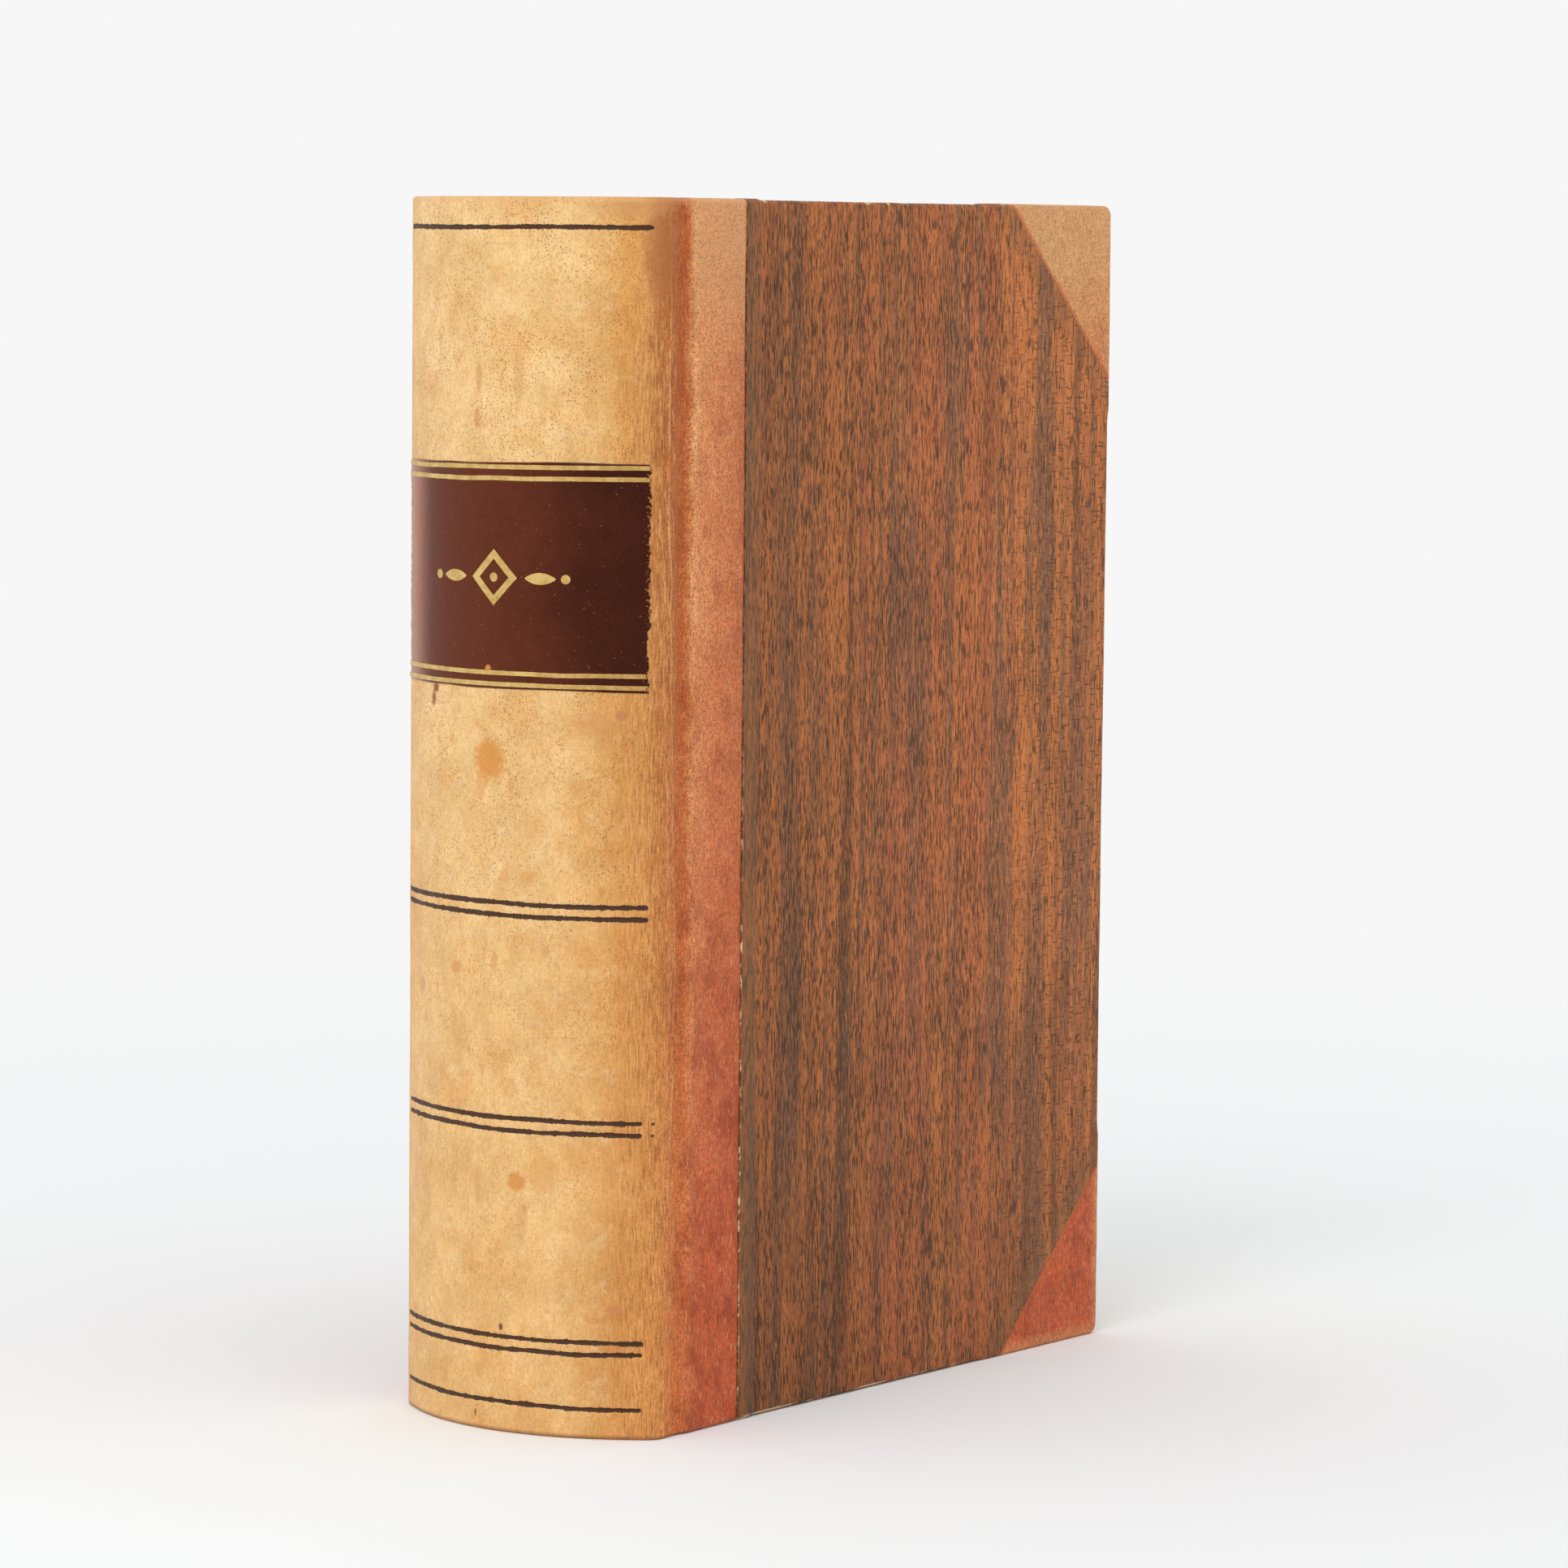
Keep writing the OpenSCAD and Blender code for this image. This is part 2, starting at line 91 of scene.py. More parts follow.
GILT_W = 0.8
GILT_EDGE = 0.4
GILT_PITCH = 2.0
ORNAMENT_W = 30.0
ORNAMENT_H = 10.0
RULE_HEIGHTS = (5.45, 15.2, 17.3, 54.6, 56.7, 93.0, 95.1, 214.55)
RULE_HALF_W = 0.40
RULE_DEPTH = 0.22
SQUARE_H = 3.0
SQUARE_F = 3.6
FORE_HOLLOW = 6.5
FLYLEAF_T = 0.25
PASTEDOWN_T = 0.15
COVER_CLEARANCE = 0.3
BAND_R = 37.99
BAND_A = math.radians(34.87)
BAND_HALF = 1.1

# Leather, hollow and lining together, over the back of the pages
BACK_T = 3.1
BOARD_OUT_Q = FACE_Q - LEATHER_T
BOARD_IN_Q = BOARD_OUT_Q - BOARD_T
INNER_Q = BOARD_IN_Q - PARED_T - PASTEDOWN_T
PAGES_Q = INNER_Q - COVER_CLEARANCE - FLYLEAF_T
BOARD_X1 = SIDE_W - PARED_T
BOARD_Z1 = BOOK_H - PARED_T
GROOVE_Q = FACE_Q - GROOVE_DEPTH
SPINE_HALF = FACE_Q - SIDE_DROP
SPINE_R = (SPINE_HALF ** 2 + SPINE_BULGE ** 2) / (2 * SPINE_BULGE)
SPINE_CX = SPINE_R - SPINE_BULGE
SPINE_A = math.asin(SPINE_HALF / SPINE_R)
PAGES_R = SPINE_R - BACK_T
MID_X = SIDE_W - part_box("front_side_paper")[1].x / MM - (PARED_T - 0.25)
SPINE_S = SPINE_R * SPINE_A
DIAGONAL = SIDE_W + BOOK_H - CORNER_LEG
# The stretch of the joint at the hinge, in X
BLEND_X0 = 6.3
BLEND_X1 = 9.2
FRONT, BACK = 1, -1
SIDES = {"front": FRONT, "back": BACK}


# Placing and meshes

def row_frame(x, q, z, side=FRONT):
    """Points in the row frame, in metres, from the book's own X, q and z."""
    x, q, z = np.broadcast_arrays(x, q, z)
    return np.stack([(x - MID_X) * MM, -side * q * MM, z * MM], axis=-1)


def by_side(front, function, *places):
    """A function of places and side, taken for each point's own side."""
    return np.where(front, function(*places, FRONT), function(*places, BACK))


def sheet_points(*values):
    """Places on a flat sheet, one row of three for each point."""
    return np.stack(np.broadcast_arrays(*values), axis=-1).reshape(-1, 3)


def thicken(name, top, bottom, faces):
    """Closed mesh between two sheets of points that share their faces."""
    count = len(top)
    edges = {}
    for face in faces:
        for a, b in zip(face, face[1:] + face[:1]):
            if (b, a) in edges:
                del edges[(b, a)]
            else:
                edges[(a, b)] = True
    solid = list(faces)
    solid += [[i + count for i in reversed(face)] for face in faces]
    solid += [[b, a, a + count, b + count] for a, b in edges]
    mesh = bpy.data.meshes.new(name)
    mesh.from_pydata(np.vstack([top, bottom]).tolist(), [], solid)
    mesh.validate()
    return mesh


def grid_faces(n, m):
    """Quads of a grid of n by m points."""
    starts = [i * m + j for i in range(n - 1) for j in range(m - 1)]
    return [[a, a + m, a + m + 1, a + 1] for a in starts]


def ring_faces(count, size, turned=False):
    """Quads between each ring of points and the next."""
    faces = []
    for i in range(count - 1):
        for j in range(size):
            a, b = i * size + j, i * size + (j + 1) % size
            a, b = (b, a) if turned else (a, b)
            faces.append([a, b, b + size, a + size])
    return faces


def add(data):
    """Object of the given data, in the scene."""
    made = bpy.data.objects.new(data.name, data)
    bpy.context.scene.collection.objects.link(made)
    return made


def finish_piece(mesh, material, replaces=(), body=None, smooth_angle=35):
    """Object of a finished mesh: its normals, finish, the nodes it stands for, and the body it rides on."""
    work = bmesh.new()
    work.from_mesh(mesh)
    bmesh.ops.recalc_face_normals(work, faces=work.faces)
    work.to_mesh(mesh)
    work.free()
    mesh.shade_smooth()
    mesh.set_sharp_from_angle(angle=math.radians(smooth_angle))
    mesh.materials.append(material)
    piece = add(mesh)
    if replaces:
        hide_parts(*replaces)
    if body:
        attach(piece, body)
    return piece


def grid_piece(name, top, bottom, sheet, material, replaces=(), body=None, smooth_angle=35):
    """Piece from two grids of points of the same size, closed at its edges; sheet keeps their flat places."""
    mesh = thicken(name, top.reshape(-1, 3), bottom.reshape(-1, 3), grid_faces(*top.shape[:2]))
    store_sheet(mesh, np.vstack([sheet] * 2))
    return finish_piece(mesh, material, replaces, body, smooth_angle)


def store(mesh, name, kind, values):
    """Keeps values on the points of a mesh, for a material that has to bend with it."""
    data = mesh.attributes.new(name, kind, "POINT").data
    data.foreach_set("vector" if kind == "FLOAT_VECTOR" else "value", values.astype(np.float32).ravel())


def store_sheet(mesh, values):
    """Keeps each point's place on the flat sheet, in millimetres."""
    store(mesh, "sheet", "FLOAT_VECTOR", values)


# Smooth noise that is the same on each run

WANDER_SIZE = 61


def wander(u, cell, seed, v=0.0, cell_v=1.0):
    """Smooth noise from -1 to 1 over one or two directions, with cells of the given sizes."""
    size = WANDER_SIZE
    table = np.random.default_rng(seed).uniform(-1, 1, (size, size))
    u, v = np.broadcast_arrays(np.asarray(u, float) / cell, np.asarray(v, float) / cell_v)
    iu, iv = np.floor(u).astype(int), np.floor(v).astype(int)
    fu, fv = u - iu, v - iv
    fu, fv = fu * fu * (3 - 2 * fu), fv * fv * (3 - 2 * fv)
    a = table[iu % size, iv % size] * (1 - fu) + table[(iu + 1) % size, iv % size] * fu
    b = table[iu % size, (iv + 1) % size] * (1 - fu) + table[(iu + 1) % size, (iv + 1) % size] * fu
    return a * (1 - fv) + b * fv


def step(value, low, high):
    """Smooth step from 0 at low to 1 at high."""
    t = np.clip((value - low) / (high - low), 0, 1)
    return t * t * (3 - 2 * t)


def bell(value, middle, width):
    """Bell of height 1."""
    return np.exp(-((value - middle) / width) ** 2)


# The outer face of the leather in plan, from the middle of the back to its margin under the side paper

BEND_STEPS = 14


def s_bend(p0, p1, r0, side):
    """Points of two arcs between level stretches at p0 and p1; r0 is the radius at p0, and side is 1 where
    the bend goes down from a crest and -1 where it goes up from a groove."""
    run, drop = p1[0] - p0[0], p1[1] - p0[1]
    turn = 2 * math.atan(abs(drop) / run)
    r1 = run / math.sin(turn) - r0
    points = []
    for angle in np.linspace(0, turn, BEND_STEPS)[1:]:
        points.append((p0[0] + r0 * math.sin(angle), p0[1] - side * r0 * (1 - math.cos(angle))))
    for angle in np.linspace(turn, 0, BEND_STEPS)[1:]:
        points.append((p1[0] - r1 * math.sin(angle), p1[1] + side * r1 * (1 - math.cos(angle))))
    return points


def plan_path():
    """The path in plan as points (X, q), and the X of the crest of the shoulder."""
    points = [(SPINE_CX - SPINE_R * math.cos(a), SPINE_R * math.sin(a)) for a in np.linspace(0, SPINE_A, 120)]
    centre = (SHOULDER_R * math.cos(SPINE_A), SPINE_HALF - SHOULDER_R * math.sin(SPINE_A))
    for angle in np.linspace(math.pi - SPINE_A, math.pi / 2, 24)[1:]:
        points.append((centre[0] + SHOULDER_R * math.cos(angle), centre[1] + SHOULDER_R * math.sin(angle)))
    crest = (centre[0], centre[1] + SHOULDER_R)
    groove_in = (JOINT_X - JOINT_FLAT, GROOVE_Q)
    groove_out = (JOINT_X + JOINT_FLAT, GROOVE_Q)
    edge = (BOARD_X0 + BOARD_EDGE_R / 2, FACE_Q)
    points += s_bend(crest, groove_in, SHOULDER_R, 1)
    points.append(groove_out)
    turn = 2 * math.atan(GROOVE_DEPTH / (edge[0] - groove_out[0]))
    near_r = (edge[0] - groove_out[0]) / math.sin(turn) - BOARD_EDGE_R
    points += s_bend(groove_out, edge, near_r, -1)
    lap_top = BOARD_OUT_Q + PARED_T
    points += [(SIDE_LEATHER_W - 0.6, lap_top), (SIDE_LEATHER_W + 0.1, lap_top - 0.8 * LAP_DROP),
               (SIDE_LEATHER_W + PAPER_LAP, lap_top - LAP_DROP)]
    return np.array(points), crest[0]


PATH, CREST_X = plan_path()
PATH_S = np.concatenate([[0], np.cumsum(np.hypot(*np.diff(PATH, axis=0).T))])


def path_s(x):
    """Length along the leather at an X beyond the shoulder."""
    return float(np.interp(x, PATH[:, 0], PATH_S))


GROOVE_S = path_s(JOINT_X)
SEAM_S = path_s(SEAM_X)
PAPER_S = path_s(SIDE_LEATHER_W)


# Half the stretch over which the leather's direction is taken
NORMAL_GAP = 0.35


def path_at(s):
    """X, q and outward normal of the outer face at lengths s from the middle of the back, on one side."""
    (x, q), ahead, behind = ([np.interp(at, PATH_S, PATH[:, axis]) for axis in (0, 1)]
                             for at in (s, s + NORMAL_GAP, s - NORMAL_GAP))
    back = s < NORMAL_GAP
    dx = np.where(back, np.sin(s / SPINE_R), ahead[0] - behind[0])
    dq = np.where(back, np.cos(s / SPINE_R), ahead[1] - behind[1])
    size = np.hypot(dx, dq)
    return x, q, -dq / size, dx / size


# Relief of the leather, in millimetres outward

def cover_wave(x, z, side):
    """The slight waviness of a cover."""
    inner = step(x, 8, 30)
    return inner * (0.10 * wander(x, 37, 11 + side, z, 46) + 0.04 * wander(x, 13, 21 + side, z, 17))


def rule_relief(s, z):
    """Stamped rules across the back, with ragged ends."""
    relief = np.zeros(np.broadcast(s, z).shape)
    for number, height in enumerate(RULE_HEIGHTS):
        line = height + 0.10 * wander(s, 9, 31 + number) + 0.04 * wander(s, 1.3, 41 + number)
        width = RULE_HALF_W * (1 + 0.25 * wander(s, 0.9, 51 + number))
        end = SPINE_S - 0.2 - 0.5 * (1 - height / BOOK_H) + 0.5 * wander(float(number), 1, 61)
        relief -= RULE_DEPTH * np.exp(-np.abs((z - line) / width) ** 3) * step(end - np.abs(s), -0.3, 0.4)
    return relief


CREASE_Z = (0, 25, 40, 60, 84, 110, 150, 170, 215, 220)
CREASE_S = (33.4, 33.5, 34.0, 35.0, 36.0, 34.8, 33.6, 32.9, 33.0, 33.0)


def crease_line(z, side):
    """Length s of the raised crease beside a joint."""
    if side == FRONT:
        return np.interp(z, CREASE_Z, CREASE_S) + 0.25 * wander(z, 7, 71) + 0.1 * wander(z, 2.1, 72)
    return 33.4 + 0.5 * wander(z, 31, 91) + 0.2 * wander(z, 7, 92)


def front_relief(s, z):
    """The raised crease and wrinkles beside the front joint, s counted to the front."""
    line = crease_line(z, FRONT)
    height = 0.18 + 0.2 * step(z, 155, 172) * step(-z, -210, -198) + 0.05 * wander(z, 11, 73)
    relief = height * bell(s, line, 0.36) - 0.12 * bell(s, line + 0.85, 0.45)
    for number, (place, low, high) in enumerate(((27.0, 172, 196), (28.1, 168, 192), (29.3, 176, 204))):
        wrinkle = place + 0.35 * wander(z, 9, 81 + number)
        relief += 0.10 * bell(s, wrinkle, 0.35) * step(z, low, low + 6) * step(-z, -high, -high + 6)
    relief += 0.22 * bell(s, 31.6, 1.6) * step(-z, -60, -20)
    return relief


def back_relief(s, z):
    """The same beside the back joint, which the photograph doesn't show."""
    line = crease_line(z, BACK)
    return (0.16 + 0.06 * wander(z, 15, 93)) * bell(s, line, 0.45) - 0.08 * bell(s, line + 0.95, 0.5)


def leather_relief(s, z, side):
    """Outward relief of the leather at length s on one side."""
    relief = 0.035 * wander(s, 5.1, 101, z, 9.3) + 0.05 * wander(s, 17, 102, z, 23)
    relief = relief + 0.02 * wander(s, 1.3, 103, z, 2.9) * step(s, 24, 30)
    return relief + (front_relief(s, z) if side == FRONT else back_relief(s, z))


def groove_fill(x, z, side):
    """How far the groove is filled out towards the tail, where it has flattened with wear."""
    share = 0.70 * step(-z, -165, -25) if side == FRONT else 0.35 * step(-z, -90, -10)
    path_q = np.interp(x, PATH[:, 0], PATH[:, 1])
    crest_q = np.interp(CREST_X, PATH[:, 0], PATH[:, 1])
    level = np.interp(x, [CREST_X, BOARD_X0 + 0.8], [crest_q, FACE_Q])
    inside = (x > CREST_X) & (x < BOARD_X0 + 0.8)
    return np.where(inside, share * (level - path_q), 0.0)


# The leather as one sheet, turned in at head and tail

# Pitch of its rows, and how far the even rows keep from the rules
ROW_PITCH = 1.6
RULE_CLEAR = 1.5


def leather_rows():
    """Heights of the points on the outer face: close together round the rules."""
    fine = (-0.9, -0.6, -0.45, -0.34, -0.24, -0.12, 0, 0.12, 0.24, 0.34, 0.45, 0.6, 0.9)
    rules = [height + d for height in RULE_HEIGHTS for d in fine]
    plain = [z for z in np.arange(2.2, BOOK_H - 2, ROW_PITCH)
             if min(abs(z - height) for height in RULE_HEIGHTS) > RULE_CLEAR]
    return np.array(sorted(rules + plain))


def wrap_profile(depth, radius, turn, skin_out, skin_in, rows):
    """Points of the sheet across its height, for columns of a given wrap: depth below the outer face, height,
    the thickness there, its direction, and how far the relief of the outer face reaches."""
    parts = []
    ones = np.ones_like(depth)
    for share in np.linspace(0, 1, 5)[:-1]:
        parts.append((depth, turn + (radius - turn) * share, skin_in, -ones, 0 * ones, 0))
    for angle in np.linspace(0, math.pi / 2, 5):
        parts.append((depth - radius + radius * math.cos(angle), radius * (1 - math.sin(angle)), skin_in,
                      -math.cos(angle) * ones, math.sin(angle) * ones, 0))
    parts.append((depth / 2, 0 * ones, (skin_in + skin_out) / 2, 0 * ones, ones, 0))
    for angle in np.linspace(0, math.pi / 2, 6):
        skin = skin_in + (skin_out - skin_in) * angle / (math.pi / 2)
        parts.append((radius * (1 - math.sin(angle)), radius * (1 - math.cos(angle)), skin,
                      math.sin(angle) * ones, math.cos(angle) * ones, math.sin(angle)))
    outer = [(0 * ones, z * ones, skin_out, ones, 0 * ones, 1) for z in rows]
    head = [(d, BOOK_H - z, skin, nd, -nz, reach) for d, z, skin, nd, nz, reach in reversed(parts)]
    parts += outer + head
    stack = [np.stack([np.broadcast_to(part[i], depth.shape) for part in parts], axis=1) for i in range(5)]
    return stack + [np.array([part[5] for part in parts])[None, :]]


# Where the leather comes on to a board, in X, how far from the end of the back its cap begins and is full,
# and how much of the wander of its face is pressed out on a board
ON_BOARD = (8.5, 9.9)
OFF_BACK = (0.5, 3.5)
BOARD_CALM = 0.6


def leather_sheet(name, s, signs, replaces):
    """One stretch of the leather: s is the length from the middle of the back, and signs tell the side."""
    x, q, nx, nq = path_at(s)
    on_board = step(x, *ON_BOARD)
    on_back = step(SPINE_S - s, *OFF_BACK)
    pared = (LEATHER_T - PARED_T) * step(x, PARING_X, SIDE_LEATHER_W)
    depth = JOINT_WRAP + (CAP_W - JOINT_WRAP) * on_back
    depth = depth + (BOARD_T + PARED_T + LEATHER_T - JOINT_WRAP) * on_board
    depth = depth - pared - LAP_DROP * step(x, SIDE_LEATHER_W, SIDE_LEATHER_W + 1)
    radius = np.minimum(depth / 2 - 0.001, WRAP_R)
    turn = CAP_TURN + (TURN_IN - CAP_TURN) * on_board
    skin_out = LEATHER_T - pared
    skin_out = np.where(x > PARING_X, np.minimum(skin_out, q - BOARD_OUT_Q), skin_out)
    skin_in = SKIN_IN - SKIN_PARED * on_board
    d, z, skin, nd, nz, reach = wrap_profile(depth, radius, turn, skin_out, skin_in, leather_rows())
    front = (signs >= 0)[:, None]
    s_col, x_col, s_signed = s[:, None], x[:, None], (signs * s)[:, None]
    rules = rule_relief(s_signed, z)
    relief = (by_side(front, leather_relief, s_col, z) * (1 - BOARD_CALM * on_board[:, None]) + rules) * reach
    wave = by_side(front, cover_wave, x_col, z) * reach
    fill = by_side(front, groove_fill, x_col, z) * reach
    straight = s_col > GROOVE_S
    in_x = np.where(straight, 0.0, -nx[:, None])
    in_q = np.where(straight, -1.0, -nq[:, None])

    def place(inward, height):
        return row_frame(x_col + in_x * inward - in_x * relief,
                         q[:, None] + in_q * inward - in_q * relief + wave + fill, height,
                         np.where(front, FRONT, BACK))

    piece = grid_piece(name, place(d, z), place(d + nd * skin, z + nz * skin), sheet_points(s_signed, d, z),
                       CALF_SHEET, replaces, smooth_angle=50)
    crease = s_col - by_side(front, crease_line, z)
    store(piece.data, "stamp", "FLOAT", np.vstack([-rules / RULE_DEPTH * reach] * 2))
    store(piece.data, "crease", "FLOAT", np.vstack([crease] * 2))
    return piece


def spacing(stops):
    """Rising values: each stop is a value and the pitch that leads up to it."""
    values = [stops[0][0]]
    for (low, _), (high, pitch) in zip(stops, stops[1:]):
        count = max(1, round((high - low) / pitch))
        values += list(np.linspace(low, high, count + 1)[1:])
    return np.array(values)


# Materials

def srgb(red, green, blue):
    """Linear colour from the 0 to 255 values of a picture."""
    values = [channel / 255 for channel in (red, green, blue)]
    return tuple(v / 12.92 if v <= 0.04045 else ((v + 0.055) / 1.055) ** 2.4 for v in values) + (1.0,)


class Value:
    """A number that nodes work out, so that a pattern can be written as a sum or a product of others."""

    def __init__(self, make, socket):
        self.make, self.socket = make, socket

    def __add__(self, other):
        return self.make.math("ADD", self, other)

    def __sub__(self, other):
        return self.make.math("SUBTRACT", self, other)

    def __rsub__(self, other):
        return self.make.math("SUBTRACT", other, self)

    def __mul__(self, other):
        return self.make.math("MULTIPLY", self, other)

    def __truediv__(self, other):
        return self.make.math("DIVIDE", self, other)

    def __abs__(self):
        return self.make.math("ABSOLUTE", self)

    def smooth(self, low, high, start=0.0, end=1.0):
        """Smooth step from start, where the number is low, to end, where it is high."""
        made = self.make.node("ShaderNodeMapRange", enumerate((self, low, high, start, end)),
                              interpolation_type="SMOOTHSTEP")
        return Value(self.make, made.outputs[0])

    def hump(self, low, high, fall, end):
        """Hump of height 1 that rises from low to high and falls from fall to end."""
        return self.smooth(low, high) * self.smooth(end, fall)


class Tree:
    """The nodes of a material or of the world."""

    def __init__(self, owner):
        owner.use_nodes = True
        self.tree = owner.node_tree

    def node(self, kind, inputs=(), **settings):
        made = self.tree.nodes.new(kind)
        for key, value in settings.items():
            setattr(made, key, value)
        for socket, value in inputs:
            self.feed(made.inputs[socket], value)
        return made

    def feed(self, socket, value):
        """Gives a socket a number, a colour or the output of another node."""
        if isinstance(value, Value):
            value = value.socket
        if isinstance(value, bpy.types.NodeSocket):
            self.tree.links.new(value, socket)
        else:
            socket.default_value = value

    def math(self, operation, *values):
        made = self.node("ShaderNodeMath", enumerate(values), operation=operation)
        return Value(self, made.outputs["Value"])

    def close(self, kind, share, near, far):
        """Ends a tree in a mix of two shaders."""
        mixed = self.node("ShaderNodeMixShader", enumerate((share, near.outputs[0], far.outputs[0])))
        self.node(kind, [("Surface", mixed.outputs[0])])


# Where a spot begins and where it is full, in parts of its radii
SPOT_RIM, SPOT_CORE = 1.1, 0.5


class Finish(Tree):
    """A procedural material. Its patterns are measured in millimetres, on the object or on its flat sheet."""

    def __init__(self, name, sheet=False):
        self.material = bpy.data.materials.new(name)
        super().__init__(self.material)
        self.bsdf = self.tree.nodes["Principled BSDF"]
        if sheet:
            self.mm = self.attribute("sheet", "Vector").socket
        else:
            place = self.node("ShaderNodeTexCoord").outputs["Object"]
            scaled = self.node("ShaderNodeVectorMath", [(0, place), (1, (1 / MM,) * 3)], operation="MULTIPLY")
            self.mm = scaled.outputs["Vector"]
        parts = self.node("ShaderNodeSeparateXYZ", [(0, self.mm)]).outputs
        self.x, self.z = Value(self, parts["X"]), Value(self, parts["Z"])

    def attribute(self, name, output="Fac"):
        return Value(self, self.node("ShaderNodeAttribute", attribute_name=name).outputs[output])

    def texture(self, kind, cell, stretch, shift, inputs):
        place = self.node("ShaderNodeMapping", [("Vector", self.mm), ("Location", shift), ("Scale", stretch)])
        return self.node(kind, [("Vector", place.outputs[0]), ("Scale", 1 / cell)] + inputs)

    def noise(self, cell, detail, rough, stretch=(1, 1, 1), shift=(0, 0, 0), warp=0.0):
        """Cloudy noise round 0.5, with cells of the given size."""
        inputs = [("Detail", detail), ("Roughness", rough), ("Distortion", warp)]
        return Value(self, self.texture("ShaderNodeTexNoise", cell, stretch, shift, inputs).outputs["Fac"])

    def cells(self, cell, stretch=(1, 1, 1), shift=(0, 0, 0)):
        """Distance to the nearest of scattered points, in cells of the given size."""
        return Value(self, self.texture("ShaderNodeTexVoronoi", cell, stretch, shift, []).outputs["Distance"])

    def ramp(self, value, stops):
        made = self.node("ShaderNodeValToRGB", [(0, value)])
        elements = made.color_ramp.elements
        while len(elements) < len(stops):
            elements.new(0.5)
        for element, (place, colour) in zip(elements, stops):
            element.position = place
            element.color = srgb(*colour)
        return made.outputs["Color"]

    def mix(self, share, a, b, mode="MIX"):
        a, b = (srgb(*colour) if isinstance(colour, tuple) else colour for colour in (a, b))
        made = self.node("ShaderNodeMix", [(0, share), (6, a), (7, b)], data_type="RGBA", blend_type=mode)
        return made.outputs[2]

    def tint(self, share, colour, mode="MIX"):
        """Lays a share of a colour over the finish."""
        self.colour = self.mix(share, self.colour, colour, mode)

    def shaded(self, value, low, high):
        """The finish's colour, darker or lighter by a factor from low to high, as value goes from 0 to 1."""
        factor = self.node("ShaderNodeMapRange", enumerate((value, 0.0, 1.0, low, high))).outputs[0]
        grey = self.node("ShaderNodeCombineColor", enumerate((factor, factor, factor)))
        return self.mix(1.0, self.colour, grey.outputs[0], "MULTIPLY")

    def shade(self, value, low, high):
        self.colour = self.shaded(value, low, high)

    def spot(self, place, radii, tint, strength, ragged=0.5):
        """Lays a soft-edged spot on the finish, at a place (x, z) with radii (x, z)."""
        dx, dz = (self.x - place[0]) / radii[0], (self.z - place[1]) / radii[1]
        far = self.math("SQRT", dx * dx + dz * dz) + (self.fine - 0.5) * (ragged * 2)
        self.tint(far.smooth(SPOT_RIM, SPOT_CORE, 0.0, strength), tint)

    def surface(self, roughness, height, relief, strength, **sockets):
        """Joins the colour, a roughness and a bump of the given relief in millimetres to the shader."""
        bump = self.node("ShaderNodeBump", [("Height", height), ("Distance", relief * MM),
                                            ("Strength", strength)])
        wanted = {"Base Color": self.colour, "Roughness": roughness, "Normal": bump.outputs[0], **sockets}
        for socket, value in wanted.items():
            self.feed(self.bsdf.inputs[socket.replace("_", " ")], value)
        return self.material


# Calf: tan on the back, orange-brown in the joints, pinkish to red-brown on the sides.
# Places are lengths from the middle of the back, in millimetres.
CALF_REACH = 64.0
# In these tables the calf darkens from 20 towards the joints. This is partly its own orange and partly
# painted shade where the back turns from the lamp, most of all in the groove from 31 to 38. The pale stops
# from 39.4 to 41.4 in CALF_HEAD are a painted highlight on the crest of the board's edge.
CALF_HEAD = ((0, (237, 199, 141)), (14, (235, 196, 137)), (20, (222, 177, 113)), (25, (211, 154, 84)),
             (28, (208, 152, 87)), (31, (178, 112, 57)), (33.5, (184, 106, 50)), (36, (191, 104, 50)),
             (38, (187, 101, 50)), (39.4, (210, 138, 84)), (40.4, (236, 171, 116)), (41.4, (230, 155, 99)),
             (45, (223, 145, 92)), (55, (208, 129, 81)))
CALF_TAIL = ((0, (232, 189, 127)), (14, (231, 187, 126)), (20, (220, 169, 104)), (25, (211, 149, 83)),
             (28, (212, 150, 83)), (31, (216, 149, 82)), (33.5, (222, 142, 73)), (36, (212, 121, 59)),
             (38, (208, 114, 58)), (39.4, (208, 118, 68)), (40.4, (210, 117, 69)), (41.4, (202, 104, 60)),
             (45, (202, 96, 52)), (55, (194, 88, 47)))
# The place in these tables that the corners take their colour from
CORNER_PLACE = 50.0
